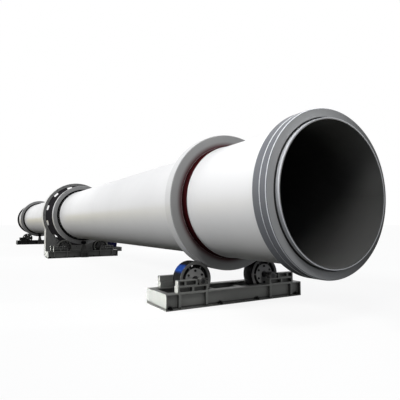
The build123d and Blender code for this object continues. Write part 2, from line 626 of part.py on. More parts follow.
# Drive plinth: a welded bed with recessed bays between its flanges
plinth_length = PLINTH_FRONT_X - PLINTH_BACK_X
plinth_width = PLINTH_OUTER_Y - PLINTH_INNER_Y
plinth_mid_x = (PLINTH_FRONT_X + PLINTH_BACK_X) / 2
plinth_mid_y = (PLINTH_INNER_Y + PLINTH_OUTER_Y) / 2
bay_height = PLINTH_HEIGHT - 2 * PLINTH_FLANGE
bay_pitch_x = plinth_length / PLINTH_BAYS
bay_pitch_y = plinth_width / PLINTH_BAYS
with BuildPart() as plinth:
    with Locations((plinth_mid_x, plinth_mid_y, PLINTH_HEIGHT / 2)):
        Box(plinth_length, plinth_width, PLINTH_HEIGHT)
        for side in SIDES.values():
            with Locations((side * (plinth_length - PLINTH_RECESS) / 2, 0, 0)):
                with GridLocations(plinth_length, bay_pitch_y, 1, PLINTH_BAYS):
                    Box(PLINTH_RECESS, bay_pitch_y - PLINTH_RECESS, bay_height, mode=Mode.SUBTRACT)
            with Locations((0, side * (plinth_width - PLINTH_RECESS) / 2, 0)):
                with GridLocations(bay_pitch_x, plinth_width, PLINTH_BAYS, 1):
                    Box(bay_pitch_x - PLINTH_RECESS, PLINTH_RECESS, bay_height, mode=Mode.SUBTRACT)
plinth.part.label = "drive_plinth"
export_step(plinth.part, "parts/drive_plinth.step")

# Reducer: a case drawn round its slow and fast shafts, with a split flange and shaft bosses
with BuildPart() as reducer:
    with BuildSketch(Plane.YZ.offset(REDUCER_BACK_X)):
        with Locations((PINION_Y, PINION_Z)):
            Circle(REDUCER_BIG_R)
        with Locations((MOTOR_Y, MOTOR_Z)):
            Circle(REDUCER_SMALL_R)
        make_hull()
        with Locations(((PINION_Y + MOTOR_Y) / 2, (PLINTH_HEIGHT + MOTOR_Z) / 2)):
            Rectangle(REDUCER_SPREAD + 2 * REDUCER_SMALL_R, MOTOR_Z - PLINTH_HEIGHT)
    extrude(amount=REDUCER_LENGTH)
    with Locations(
        (
            REDUCER_BACK_X + REDUCER_LENGTH / 2,
            (PINION_Y + MOTOR_Y + REDUCER_SMALL_R - REDUCER_BIG_R) / 2,
            MOTOR_Z,
        )
    ):
        Box(
            REDUCER_LENGTH + REDUCER_FLANGE_LAP,
            REDUCER_SPREAD + REDUCER_BIG_R + REDUCER_SMALL_R + 2 * REDUCER_FLANGE_LAP,
            REDUCER_FLANGE,
        )
    with BuildSketch(Plane.YZ.offset(REDUCER_FRONT_X)):
        with Locations((PINION_Y, PINION_Z), (MOTOR_Y, MOTOR_Z)):
            Circle(REDUCER_BOSS_R)
    extrude(amount=REDUCER_BOSS)
reducer.part.label = "reducer"
export_step(reducer.part, "parts/reducer.step")

# Motor: a finned body between two end bells, on feet, with a terminal box
with BuildPart() as motor:
    with BuildSketch(Plane.YZ.offset(MOTOR_BACK_X)):
        with Locations((MOTOR_Y, MOTOR_Z)):
            Circle(MOTOR_D / 2 - MOTOR_FIN_HEIGHT)
    extrude(amount=MOTOR_LENGTH)
    with BuildSketch(Plane.YZ.offset(MOTOR_BACK_X + MOTOR_BELL)):
        with Locations((MOTOR_Y, MOTOR_Z)):
            with PolarLocations(MOTOR_D / 2 - MOTOR_FIN_HEIGHT, MOTOR_FINS):
                Rectangle(2 * MOTOR_FIN_HEIGHT, MOTOR_FIN)
    extrude(amount=MOTOR_LENGTH - 2 * MOTOR_BELL)
    for bell_x in (MOTOR_BACK_X, MOTOR_FRONT_X - MOTOR_BELL):
        with BuildSketch(Plane.YZ.offset(bell_x)):
            with Locations((MOTOR_Y, MOTOR_Z)):
                Circle(MOTOR_D / 2)
        extrude(amount=MOTOR_BELL)
    for foot_x in (MOTOR_BACK_X + MOTOR_BELL, MOTOR_FRONT_X - MOTOR_BELL):
        with Locations((foot_x, MOTOR_Y, (PLINTH_HEIGHT + MOTOR_Z) / 2)):
            Box(MOTOR_FOOT_WIDTH, MOTOR_D, MOTOR_Z - PLINTH_HEIGHT)
    with Locations((MOTOR_BACK_X + MOTOR_LENGTH / 2, MOTOR_Y, MOTOR_Z + MOTOR_D / 2)):
        Box(MOTOR_BOX, MOTOR_BOX, MOTOR_BOX / 2)
motor.part.label = "motor"
export_step(motor.part, "parts/motor.step")

# Guard over the coupling between motor and reducer
with BuildPart() as motor_coupling:
    with BuildSketch(Plane.YZ.offset(BOSS_FRONT_X)):
        with Locations((MOTOR_Y, MOTOR_Z)):
            Circle(REDUCER_BOSS_R)
    extrude(amount=MOTOR_COUPLING_LENGTH)
motor_coupling.part.label = "motor_coupling"
export_step(motor_coupling.part, "parts/motor_coupling.step")

# Thrust roller on a fixed pin
with BuildPart() as thrust_roller:
    with BuildSketch(Plane.XY.offset(THRUST_Z)):
        with Locations((THRUST_X, 0)):
            Circle(THRUST_D / 2)
    extrude(amount=THRUST_HEIGHT)
    chamfer(thrust_roller.edges().filter_by(GeomType.CIRCLE), length=THRUST_CHAMFER)
    with BuildSketch(Plane.XY.offset(THRUST_Z)):
        with Locations((THRUST_X, 0)):
            Circle(THRUST_PIN_D / 2 + RUNNING_FIT)
    extrude(amount=THRUST_HEIGHT, mode=Mode.SUBTRACT)
thrust_roller.part.label = "thrust_roller"
export_step(thrust_roller.part, "parts/thrust_roller.step")

# Thrust bracket: a saddle and tapered neck on the frame for the pin, and an open foot in front of it
saddle_back = THRUST_X - THRUST_NECK_WIDTH / 2
saddle_length = BASE_WIDTH / 2 - saddle_back
neck_base = BASE_HEIGHT + THRUST_SADDLE
neck_top = THRUST_Z - THRUST_GAP
with BuildPart() as thrust_bracket:
    with Locations((saddle_back + saddle_length / 2, 0, BASE_HEIGHT + THRUST_SADDLE / 2)):
        Box(saddle_length, THRUST_SADDLE_WIDTH, THRUST_SADDLE)
    with BuildSketch(Plane.XY.offset(neck_base)):
        with Locations((saddle_back + saddle_length / 2, 0)):
            Rectangle(saddle_length, THRUST_SADDLE_WIDTH)
    with BuildSketch(Plane.XY.offset(neck_top)):
        with Locations((THRUST_X, 0)):
            Rectangle(THRUST_NECK_WIDTH, THRUST_NECK_WIDTH)
    loft()
    with BuildSketch(Plane.XY.offset(neck_top)):
        with Locations((THRUST_X, 0)):
            Circle(THRUST_PIN_D / 2)
    extrude(amount=THRUST_GAP + THRUST_HEIGHT + THRUST_PIN_HEAD)
    with Locations((BASE_WIDTH / 2 + THRUST_FOOT_DEPTH / 2, 0, THRUST_FOOT_HEIGHT / 2)):
        Box(THRUST_FOOT_DEPTH, THRUST_FOOT_WIDTH, THRUST_FOOT_HEIGHT)
        with Locations((THRUST_FOOT_WALL, 0, 0)):
            Box(
                THRUST_FOOT_DEPTH,
                THRUST_FOOT_WIDTH - 2 * THRUST_FOOT_WALL,
                THRUST_FOOT_HEIGHT - 2 * THRUST_FOOT_WALL,
                mode=Mode.SUBTRACT,
            )
thrust_bracket.part.label = "thrust_bracket"
export_step(thrust_bracket.part, "parts/thrust_bracket.step")
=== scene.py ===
# %% [markdown]
# # Dressing a rotary kiln
# A rotary kiln is a long plate tube that lies on rollers and turns slowly while its load
# tumbles towards the mouth. The solids come from the drawing office, so this lesson only
# gives them their finish, adds welds, fasteners and small fittings, and sets a plain studio.

# %% Load the solids
import json
from math import cos, pi, radians, sin

import bmesh
import bpy
from mathutils import Matrix, Vector


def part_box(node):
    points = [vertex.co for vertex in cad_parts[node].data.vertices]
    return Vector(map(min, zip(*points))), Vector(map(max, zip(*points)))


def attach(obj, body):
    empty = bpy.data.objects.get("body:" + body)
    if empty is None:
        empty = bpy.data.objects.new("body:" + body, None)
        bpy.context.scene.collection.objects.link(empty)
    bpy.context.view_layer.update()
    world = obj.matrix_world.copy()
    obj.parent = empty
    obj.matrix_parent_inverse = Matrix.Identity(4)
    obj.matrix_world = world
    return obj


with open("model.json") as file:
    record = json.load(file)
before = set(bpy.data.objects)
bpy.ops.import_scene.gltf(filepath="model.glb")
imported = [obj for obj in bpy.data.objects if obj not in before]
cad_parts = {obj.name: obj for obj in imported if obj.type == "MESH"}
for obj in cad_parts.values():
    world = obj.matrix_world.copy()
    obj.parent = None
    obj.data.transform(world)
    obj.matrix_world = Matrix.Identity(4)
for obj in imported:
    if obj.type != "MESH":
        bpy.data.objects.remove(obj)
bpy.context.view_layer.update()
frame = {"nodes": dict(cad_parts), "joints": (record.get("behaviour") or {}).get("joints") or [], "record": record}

# %% [markdown]
# ## Measures from the frame
# Every added piece sits on a solid. Its place could be typed in, but then it would stay behind
# when the solid changes. So it is read: the turning axes from the joints, the radii from the
# boxes of the round solids. Metres are used throughout.

# %% Read the axes and the radii
MM = 0.001
UP = (0, 0, 1)
STATIONS = ("near", "mid", "far")
SIDES = ("left", "right")
record = frame["record"]
pivot = {joint["name"]: Vector(joint["pos_m"]) for joint in frame["joints"]}
axis_z = pivot["kiln_spin"].z
roller_y, roller_z = pivot["near_right_spin"].yz


def half_width(node):
    """Half of a solid's width across the kiln, which is the radius of a round one."""
    low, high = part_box(node)
    return (high.y - low.y) / 2


shell_low, shell_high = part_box("shell")
shell_r = half_width("shell")
tyre_r = half_width("near_tyre")
roller_r = half_width("near_left_roller")
print("axis height", round(axis_z, 3))
print("radii of shell, tyre and roller", shell_r, tyre_r, roller_r)

# %% [markdown]
# ## Helpers for materials
# A colour is picked in sRGB, as a paint card is seen, but the shader works in linear light, so
# one function turns the hex value over. One more adds a node: it sets the node's properties,
# fills each input with a number, a colour or a link, and gives back the output that is wanted.
# Two short ones open and close a material. Nodes could be laid out by hand in the editor, but
# written down like this a finish can be read, compared and made again.

# %% Colour and node helpers
def linear(hex_colour):
    """An sRGB hex value such as "808080" as a linear RGBA colour."""
    channels = [int(hex_colour[i : i + 2], 16) / 255 for i in (0, 2, 4)]
    bent = [c / 12.92 if c <= 0.04045 else ((c + 0.055) / 1.055) ** 2.4 for c in channels]
    return (*bent, 1.0)


def add_node(tree, kind, inputs=(), output=0, **settings):
    """Adds one node, sets its properties, fills or links its inputs, and gives one output."""
    made = tree.nodes.new("ShaderNode" + kind)
    for key, value in settings.items():
        setattr(made, key, value)
    for socket, value in dict(inputs).items():
        if isinstance(value, bpy.types.NodeSocket):
            tree.links.new(value, made.inputs[socket])
        else:
            made.inputs[socket].default_value = linear(value) if isinstance(value, str) else value
    return made.outputs[output] if made.outputs else None


def start_finish(name):
    """An empty material, its node tree, and the object coordinates that its patterns read."""
    material = bpy.data.materials.new(name)
    material.use_nodes = True
    tree = material.node_tree
    tree.nodes.clear()
    return material, tree, add_node(tree, "TexCoord", output="Object")


def end_finish(material, sockets):
    """The shader that the patterns feed, and the output that shows it."""
    tree = material.node_tree
    shader = add_node(tree, "BsdfPrincipled", sockets)
    add_node(tree, "OutputMaterial", {"Surface": shader})
    print("finish", material.name, "of", len(tree.nodes), "nodes")
    return material


print("sRGB 808080 is", round(linear("808080")[0], 3), "in linear light")

# %% [markdown]
# ## What the finishes have in common
# Cloudy patches stand for uneven fading, and fine ones for the skin of a paint or a casting. Their
# size is told in millimetres of the real surface, so a noise gets its scale from it. One colour is
# laid over another by a factor. Round pieces also need the distance from their turning axis,
# because a lathe works in rings and grease creeps outwards.

# %% Patches, layers and the distance from an axis
# The Mix node keeps sockets for numbers and for colours side by side, so an index picks them.
FACTOR, LOW, HIGH = 0, 2, 3
FIRST, SECOND, MIXED = 6, 7, 2


def patches_of(place, size_mm, detail=4.0):
    """What a noise is told so that its patches are about that wide."""
    return {"Vector": place, "Scale": 1 / (size_mm * MM), "Detail": detail, "Roughness": 0.6}


def layers(factor, under, over):
    """What a mix of colours is told to lay one over another by a factor."""
    return {FACTOR: factor, FIRST: under, SECOND: over}


def axis_distance(tree, place, y, z):
    """Distance of a point from a line along X through that y and z."""
    flat = {"Vector": place, "Location": (0.0, -y, -z), "Scale": (0.0, 1.0, 1.0)}
    moved = add_node(tree, "Mapping", flat)
    return add_node(tree, "VectorMath", {0: moved}, "Value", operation="LENGTH")


print("patches 500 mm wide have a noise scale of", patches_of(None, 500)["Scale"])

# %% [markdown]
# ## White enamel on the tube
# The tube is rolled plate under gloss white enamel, and bare scaled plate inside. Enamel levels
# out, so the eye gets clear highlights on a surface that ripples slightly from plate to plate.
# The inside could be a second material, but the tube is one solid, so its distance from the axis
# tells it from the outside. It is dark with scale. For a metre behind the mouth it carries painted
# light: paler as if lit through the mouth, and paler towards the crown as if lit by light bounced up
# from below. The lip in front of the nose ring is grey, and dark packing fills the groove behind it.

# %% White tube enamel
PLATE_HALF = 14 * MM
GROOVE_DEPTH = 110 * MM
PACKING_PROUD = 12 * MM
# How far behind the mouth the inside is painted paler, as painted light falling in.
MOUTH_LIGHT_DEPTH = 1100 * MM


def tube_enamel():
    material, tree, place = start_finish("gloss_white_enamel_on_plate")
    radius = axis_distance(tree, place, 0.0, axis_z)
    inside = add_node(tree, "Math", {0: radius, 1: shell_r - PLATE_HALF}, operation="LESS_THAN")
    along = add_node(tree, "SeparateXYZ", {0: place}, "X")

    patches = add_node(tree, "TexNoise", patches_of(place, 1400))
    paint = add_node(tree, "Mix", layers(patches, "e1e1e0", "d6d6d5"), MIXED, data_type="RGBA")
    nose_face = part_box("nose_ring_front")[1].x
    lip = add_node(tree, "Math", {0: along, 1: nose_face}, operation="GREATER_THAN")
    paint = add_node(tree, "Mix", layers(lip, paint, "cfd1d3"), MIXED, data_type="RGBA")
    groove_middle = nose_face + PACKING_PROUD - GROOVE_DEPTH / 2
    groove = {0: along, 1: groove_middle, 2: GROOVE_DEPTH / 2}
    packed = add_node(tree, "Math", groove, operation="COMPARE")
    paint = add_node(tree, "Mix", layers(packed, paint, "40403e"), MIXED, data_type="RGBA")

    grain = add_node(tree, "TexNoise", patches_of(place, 220))
    scale = add_node(tree, "Mix", layers(grain, "444443", "3a3a39"), MIXED, data_type="RGBA")
    # Painted light: the inside is paler towards the crown and near the mouth.
    height = {"Value": along.node.outputs["Z"], "From Min": axis_z, "From Max": axis_z + shell_r}
    crown_light_share = add_node(tree, "MapRange", height)
    painted_inside_light = add_node(tree, "Mix", layers(crown_light_share, "5a5a58", "8c8c8a"), MIXED, data_type="RGBA")
    depth = {"Value": along, "From Min": shell_high.x - MOUTH_LIGHT_DEPTH, "From Max": shell_high.x}
    mouth_light_share = add_node(tree, "MapRange", depth, interpolation_type="SMOOTHSTEP")
    scale = add_node(tree, "Mix", layers(mouth_light_share, scale, painted_inside_light), MIXED, data_type="RGBA")

    colour = add_node(tree, "Mix", layers(inside, paint, scale), MIXED, data_type="RGBA")
    gloss = add_node(tree, "MapRange", {"Value": patches, "To Min": 0.26, "To Max": 0.34})
    rough = add_node(tree, "Mix", {FACTOR: inside, LOW: gloss, HIGH: 0.45})
    waves = add_node(tree, "TexNoise", patches_of(place, 700, 1.0))
    ripple = add_node(tree, "Bump", {"Strength": 0.3, "Distance": 6 * MM, "Height": waves})
    sockets = {"Base Color": colour, "Roughness": rough, "Normal": ripple, "IOR": 1.5}
    return end_finish(material, sockets)


tube_white = tube_enamel()

# %% [markdown]
# ## Grey tyres with a rolled tread
# A tyre is a forged ring. Its faces are turned and painted mid grey, and the rollers keep its
# tread pale. A band of the face next to the bore is painted near black as shade in the gap at the
# pads, and at the near tyre it is painted red as a reflection of the pads. The band follows the
# distance from the axis, so that distance draws it. Edges are painted paler, partly as wear from
# slings and boots and partly as painted highlight: a Bevel node rounds the normal there, and where
# it leaves the true normal, an edge is near. Turning leaves rings about a millimetre apart, too
# fine for this picture, so they are drawn 16 mm apart and kept faint.

# %% Tyre finishes
TURNING_RING = 16 * MM
TREAD_SKIN = 5 * MM


def worn_and_highlit_edges(tree, width_mm):
    """0 on open faces, rising to 1 along the edges of a piece, which are painted paler as wear and highlight."""
    rounded = add_node(tree, "Bevel", {"Radius": width_mm * MM}, samples=4)
    true = add_node(tree, "NewGeometry", output="Normal")
    cosine = add_node(tree, "VectorMath", {0: rounded, 1: true}, "Value", operation="DOT_PRODUCT")
    bend = {"Value": cosine, "From Min": 0.99, "From Max": 0.86, "To Min": 0.0, "To Max": 1.0}
    return add_node(tree, "MapRange", bend)


def turned_rings(tree, radius):
    """The shallow rings of a lathe tool, as a bump."""
    turns = add_node(tree, "Math", {0: radius, 1: 2 * pi / TURNING_RING}, operation="MULTIPLY")
    wave = add_node(tree, "Math", {0: turns}, operation="SINE")
    return add_node(tree, "Bump", {"Strength": 0.04, "Distance": 1 * MM, "Height": wave})


def tyre_steel(name, painted_light, band_start, band_full):
    material, tree, place = start_finish(name)
    radius = axis_distance(tree, place, 0.0, axis_z)
    tread = add_node(tree, "Math", {0: radius, 1: tyre_r - TREAD_SKIN}, operation="GREATER_THAN")
    patches = add_node(tree, "TexNoise", patches_of(place, 500))
    paint = add_node(tree, "Mix", layers(patches, "9e9e9c", "929291"), MIXED, data_type="RGBA")
    # Painted light: a band next to the bore, near black as painted shade, or red as a painted reflection of the
    # pads.
    band_span = {"Value": radius, "From Min": tyre_r - band_start, "From Max": tyre_r - band_full}
    bore_band_share = add_node(tree, "MapRange", band_span, interpolation_type="SMOOTHSTEP")
    paint = add_node(tree, "Mix", layers(bore_band_share, paint, painted_light), MIXED, data_type="RGBA")
    edges = worn_and_highlit_edges(tree, 14)
    # Edges painted paler, partly as wear and partly as painted highlight.
    paint = add_node(tree, "Mix", layers(edges, paint, "d2d2d0"), MIXED, data_type="RGBA")
    bright = add_node(tree, "Mix", layers(patches, "d8d8d6", "c4c4c4"), MIXED, data_type="RGBA")
    colour = add_node(tree, "Mix", layers(tread, paint, bright), MIXED, data_type="RGBA")
    dull = add_node(tree, "MapRange", {"Value": patches, "To Min": 0.38, "To Max": 0.5})
    rough = add_node(tree, "Mix", {FACTOR: tread, LOW: dull, HIGH: 0.3})
    shine = add_node(tree, "MapRange", {"Value": bore_band_share, "To Min": 0.5, "To Max": 0.03})
    sockets = {"Base Color": colour, "Roughness": rough, "Specular IOR Level": shine}
    return end_finish(material, sockets | {"Normal": turned_rings(tree, radius)})


# The middle and far tyres get a near black band as painted shade; the near tyre a red band as painted reflection.
tyre_grey = tyre_steel("grey_enamel_and_rolled_steel", "060606", 185 * MM, 212 * MM)
tyre_red = tyre_steel("grey_enamel_with_painted_red_reflection", "5c3a3c", 140 * MM, 275 * MM)

# %% [markdown]
# ## Nose rings
# The nose rings are castings in blue-grey enamel. Their chamfers are painted near white as thin
# highlight lines, and one side of the front face is painted darker as shade. Face, band and chamfer
# belong to one solid, so the way the surface points tells them apart.

# %% Nose ring finish
CHAMFER = 9 * MM


def nose_casting():
    material, tree, place = start_finish("blue_grey_enamel_on_casting")
    radius = axis_distance(tree, place, 0.0, axis_z)
    normal = add_node(tree, "NewGeometry", output="True Normal")
    along = {0: normal, 1: (1, 0, 0)}
    ahead = add_node(tree, "VectorMath", along, "Value", operation="DOT_PRODUCT")
    face = add_node(tree, "Math", {0: ahead, 1: 0.9}, operation="GREATER_THAN")
    slanted = add_node(tree, "Math", {0: ahead, 1: 0.7, 2: 0.25}, operation="COMPARE")
    nose_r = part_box("nose_ring_front")[1].y
    outer = add_node(tree, "Math", {0: radius, 1: nose_r - CHAMFER}, operation="GREATER_THAN")
    chamfer_highlight = add_node(tree, "Math", {0: slanted, 1: outer}, operation="MULTIPLY")

    patches = add_node(tree, "TexNoise", patches_of(place, 500))
    band = add_node(tree, "Mix", layers(patches, "696b6f", "636569"), MIXED, data_type="RGBA")
    front = add_node(tree, "Mix", layers(patches, "a5a6a6", "9b9c9b"), MIXED, data_type="RGBA")
    across = add_node(tree, "SeparateXYZ", {0: place}, "Y")
    side = {"Value": across, "From Min": -0.3 * nose_r, "From Max": nose_r}
    # Painted shade: the front face darkens towards one side.
    painted_side_shade = add_node(tree, "MapRange", side, interpolation_type="SMOOTHSTEP")
    front = add_node(tree, "Mix", layers(painted_side_shade, front, "565654"), MIXED, data_type="RGBA")
    paint = add_node(tree, "Mix", layers(face, band, front), MIXED, data_type="RGBA")
    # Painted highlight: the chamfers are near white.
    colour = add_node(tree, "Mix", layers(chamfer_highlight, paint, "e0e2e4"), MIXED, data_type="RGBA")
    rough = add_node(tree, "MapRange", {"Value": patches, "To Min": 0.4, "To Max": 0.52})
    sockets = {"Base Color": colour, "Roughness": rough, "Specular IOR Level": 0.2}
    return end_finish(material, sockets | {"Normal": turned_rings(tree, radius)})


nose_grey = nose_casting()

# %% [markdown]
# ## Machine enamel for frames, guards and housings
# Frames, bearings, guard, motor and pads wear brushed or sprayed machine enamel over steel. That
# gives the eye a semi-gloss skin with faded patches and a faint orange peel. Edges are painted paler,
# partly as wear and partly as painted highlight, and the inner corners are painted darker as shade.
# That shade could be placed by hand, but an ambient occlusion node finds the corners of every piece.
# Frames on the ground also get a painted shadow line above the bottom flange.
# One function makes all these paints, and each call says which one it is.

# %% Machine enamel
SHADOW_LINE_HEIGHT = 42 * MM
SHADOW_LINE_HALF = 16 * MM
SEMI_GLOSS = (0.36, 0.5)
# The colour of painted shade in inner corners and painted shadow above a bottom flange.
PAINTED_SHADE = "141412"


def painted_corner_shade(tree, reach_mm, darkest):
    """Painted shade: 0 on open faces, rising to 0.9 in inner corners as deep as the darkest."""
    corner = add_node(tree, "AmbientOcclusion", {"Distance": reach_mm * MM}, "AO", samples=8)
    spread = {"Value": corner, "From Min": darkest, "From Max": 0.75, "To Min": 0.9, "To Max": 0.0}
    return add_node(tree, "MapRange", spread)


def machine_enamel(name, fresh, faded, worn_highlit_edge, gloss=SEMI_GLOSS, shine=0.5, flange_shadow_line=False):
    material, tree, place = start_finish(name)
    patches = add_node(tree, "TexNoise", patches_of(place, 420))
    paint = add_node(tree, "Mix", layers(patches, fresh, faded), MIXED, data_type="RGBA")
    # Painted shade: darker in inner corners.
    corner_shade = painted_corner_shade(tree, 250, 0.15)
    paint = add_node(tree, "Mix", layers(corner_shade, paint, PAINTED_SHADE), MIXED, data_type="RGBA")
    # Painted shadow: a dark line just above the bottom flange.
    if flange_shadow_line:
        height = add_node(tree, "SeparateXYZ", {0: place}, "Z")
        line = {0: height, 1: SHADOW_LINE_HEIGHT, 2: SHADOW_LINE_HALF}
        shadow_line = add_node(tree, "Math", line, operation="COMPARE")
        shadow_line_share = add_node(tree, "MapRange", {"Value": shadow_line, "To Min": 0.0, "To Max": 0.8})
        paint = add_node(tree, "Mix", layers(shadow_line_share, paint, PAINTED_SHADE), MIXED, data_type="RGBA")
    edge_wear_and_highlight = add_node(tree, "Math", {0: worn_and_highlit_edges(tree, 7), 1: patches}, operation="MULTIPLY")
    # Edges painted paler, partly as wear and partly as painted highlight.
    colour = add_node(tree, "Mix", layers(edge_wear_and_highlight, paint, worn_highlit_edge), MIXED, data_type="RGBA")
    rough = add_node(tree, "MapRange", {"Value": patches, "To Min": gloss[0], "To Max": gloss[1]})
    peel = add_node(tree, "TexNoise", patches_of(place, 24, 2.0))
    skin = add_node(tree, "Bump", {"Strength": 0.08, "Distance": 1 * MM, "Height": peel})
    sockets = {"Base Color": colour, "Roughness": rough, "Normal": skin}
    return end_finish(material, sockets | {"Specular IOR Level": shine})


frame_grey = machine_enamel(
    "dark_grey_machine_enamel", "6b6c69", "61625f", "b4b4ae", flange_shadow_line=True
)
# Painted shade: a darker copy of the frame enamel for the far frame and its pedestals.
darker_shaded_grey = machine_enamel(
    "darker_shaded_machine_enamel", "303130", "2a2b2a", "8c8c88", (0.5, 0.65), 0.1, flange_shadow_line=True
)
charcoal = machine_enamel("charcoal_machine_enamel", "4e4e4c", "444442", "767672")
sheet_grey = machine_enamel("light_grey_sheet_enamel", "7e7e7c", "727270", "9a9a96")
# Painted light: the guard's cover is painted pale as its lit sides.
sheet_painted_lit = machine_enamel("pale_sheet_enamel_painted_lit", "dededa", "d2d2ce", "ecece8")
bitumen = machine_enamel("black_bitumen_paint", "101011", "171717", "2a2a2a", (0.55, 0.7), 0.15)
web_brown = machine_enamel("grease_browned_steel", "403d40", "363436", "524e50", (0.45, 0.6), 0.15)
pad_red = machine_enamel("red_oxide_enamel", "340206", "2a0205", "480a0e", (0.6, 0.7), 0.05)
motor_navy = machine_enamel("navy_motor_enamel", "0b0b48", "080836", "24245a", (0.45, 0.55), 0.15)

# %% [markdown]
# ## Support rollers
# A support roller is a steel casting. Its rim face and hub are painted grey, the recess between
# them is painted black as shade, and its tread is black with rolled-in graphite. The rollers further
# back are painted darker, hubs too, as shade. An arc on the upper left of the near left tread is
# painted blue as a highlight. All six rollers lie at the same distance from the middle plane, so
# the absolute value of the place lets one material serve both sides.

# %% Roller finishes
HUB_RADIUS = 242 * MM
ROLLED_SKIN = 3 * MM
BLUE_HIGHLIGHT_TURN = radians(50)
BLUE_HIGHLIGHT_DEEP, BLUE_HIGHLIGHT_THIN = 20 * MM, 2 * MM


def roller_casting(name, rim_colours, hub_colours, blue_highlit=False):
    material, tree, place = start_finish(name)
    mirrored = add_node(tree, "VectorMath", {0: place}, operation="ABSOLUTE")
    radius = axis_distance(tree, mirrored, roller_y, roller_z)
    tread_r = roller_r - ROLLED_SKIN
    tread = add_node(tree, "Math", {0: radius, 1: tread_r}, operation="GREATER_THAN")
    hub = add_node(tree, "Math", {0: radius, 1: HUB_RADIUS}, operation="LESS_THAN")

    patches = add_node(tree, "TexNoise", patches_of(place, 160))
    rim_paint = add_node(tree, "Mix", layers(patches, *rim_colours), MIXED, data_type="RGBA")
    hub_paint = add_node(tree, "Mix", layers(patches, *hub_colours), MIXED, data_type="RGBA")
    paint = add_node(tree, "Mix", layers(hub, rim_paint, hub_paint), MIXED, data_type="RGBA")
    # Painted shade: the recess between rim and hub goes black.
    painted_light = painted_corner_shade(tree, 120, 0.35)
    paint = add_node(tree, "Mix", layers(painted_light, paint, "0c0c0c"), MIXED, data_type="RGBA")
    edges = worn_and_highlit_edges(tree, 8)
    # Edges painted paler, partly as wear and partly as painted highlight.
    paint = add_node(tree, "Mix", layers(edges, paint, "7a7a78"), MIXED, data_type="RGBA")

    black = add_node(tree, "Mix", layers(patches, "0a0a0a", "121213"), MIXED, data_type="RGBA")
    # Painted highlight: a blue arc on the upper left of the tread.
    if blue_highlit:
        towards = Vector((0.0, -sin(BLUE_HIGHLIGHT_TURN), cos(BLUE_HIGHLIGHT_TURN)))
        aim = {0: place, 1: towards}
        height = add_node(tree, "VectorMath", aim, "Value", operation="DOT_PRODUCT")
        top = roller_r + towards.y * -roller_y + towards.z * roller_z
        arc = {"Value": height, "From Min": top - BLUE_HIGHLIGHT_DEEP, "From Max": top - BLUE_HIGHLIGHT_THIN}
        blue_highlight = add_node(tree, "MapRange", arc, interpolation_type="SMOOTHSTEP")
        black = add_node(tree, "Mix", layers(blue_highlight, black, "12306c"), MIXED, data_type="RGBA")
    colour = add_node(tree, "Mix", layers(tread, paint, black), MIXED, data_type="RGBA")
    rough = add_node(tree, "MapRange", {"Value": patches, "To Min": 0.5, "To Max": 0.65})
    sockets = {"Base Color": colour, "Roughness": rough, "Specular IOR Level": 0.03}
    return end_finish(material, sockets)


# The rollers further back take darker colours as painted shade.
SHADED_RIM, SHADED_HUB = ("74746f", "686864"), ("4e4e4c", "464644")
NEAR_RIM, NEAR_HUB = ("70706e", "626260"), ("8c8c8a", "7e7e7c")
roller_shaded = roller_casting("darker_shaded_enamel_and_black_tread", SHADED_RIM, SHADED_HUB)
roller_near = roller_casting("dark_grey_enamel_and_black_tread", NEAR_RIM, NEAR_HUB)
roller_blue_highlit = roller_casting("dark_grey_enamel_and_painted_blue_highlight", NEAR_RIM, NEAR_HUB, True)

# %% [markdown]
# ## Shafts, teeth and bolts
# Shafts, gear teeth and bolts are bare steel under oil. They take a metal shader, and an uneven
# film of oil varies their colour and gloss, so that a plain round bar doesn't look moulded.

# %% Bare steel finishes
def oiled_steel(name, clean, oily):
    material, tree, place = start_finish(name)
    film = add_node(tree, "TexNoise", patches_of(place, 130))
    colour = add_node(tree, "Mix", layers(film, clean, oily), MIXED, data_type="RGBA")
    rough = add_node(tree, "MapRange", {"Value": film, "To Min": 0.25, "To Max": 0.5})
    pits = add_node(tree, "TexNoise", patches_of(place, 18))
    marks = add_node(tree, "Bump", {"Strength": 0.1, "Distance": 1 * MM, "Height": pits})
    sockets = {"Base Color": colour, "Metallic": 1.0, "Roughness": rough, "Normal": marks}
    return end_finish(material, sockets)


gear_steel = oiled_steel("greased_gear_steel", "6e6e6c", "4a4844")
shaft_steel = oiled_steel("oiled_turned_steel", "5a5a5a", "3c3c3e")
blued_steel = oiled_steel("blued_roller_steel", "0e0e13", "09090d")
bolt_steel = oiled_steel("blackened_bolt_steel", "343434", "1e1e1e")

# %% [markdown]
# ## Every solid gets its finish
# The record gives each solid a material slot. A table from slot to finish dresses most of them,
# and a second table names the few that share a slot but not a finish.

# %% Assign the finishes
by_slot = {
    "shell_paint": tube_white,
    "ring_steel": tyre_grey,
    "roller_steel": roller_shaded,
    "dark_steel": bitumen,
    "gear_steel": gear_steel,
    "pad_red": pad_red,
    "base_paint": frame_grey,
    "bearing_paint": charcoal,
    "guard_paint": sheet_grey,
    "motor_paint": motor_navy,
}
by_node = {
    "nose_ring_front": nose_grey,
    "nose_ring_rear": nose_grey,
    "near_tyre": tyre_red,
    "near_left_roller": roller_blue_highlit,
    "near_right_roller": roller_near,
    "thrust_roller": blued_steel,
    # The thrust bracket takes the darker charcoal enamel as painted shade.
    "thrust_bracket": charcoal,
    # The far frame and pedestals take the darker copy as painted shade.
    "far_base": darker_shaded_grey,
    "far_pedestals": darker_shaded_grey,
    "gear_web": web_brown,
    # The guard's cover is painted pale as painted light.
    "guard_cover": sheet_painted_lit,
}
by_node |= {node: shaft_steel for node in frame["nodes"] if node.endswith("_shaft")}
for part in record["subparts"]:
    node = part["node"]
    materials = frame["nodes"][node].data.materials
    materials.clear()
    materials.append(by_node.get(node, by_slot[part["material_slot"]]))
print("dressed", len(record["subparts"]), "solids")

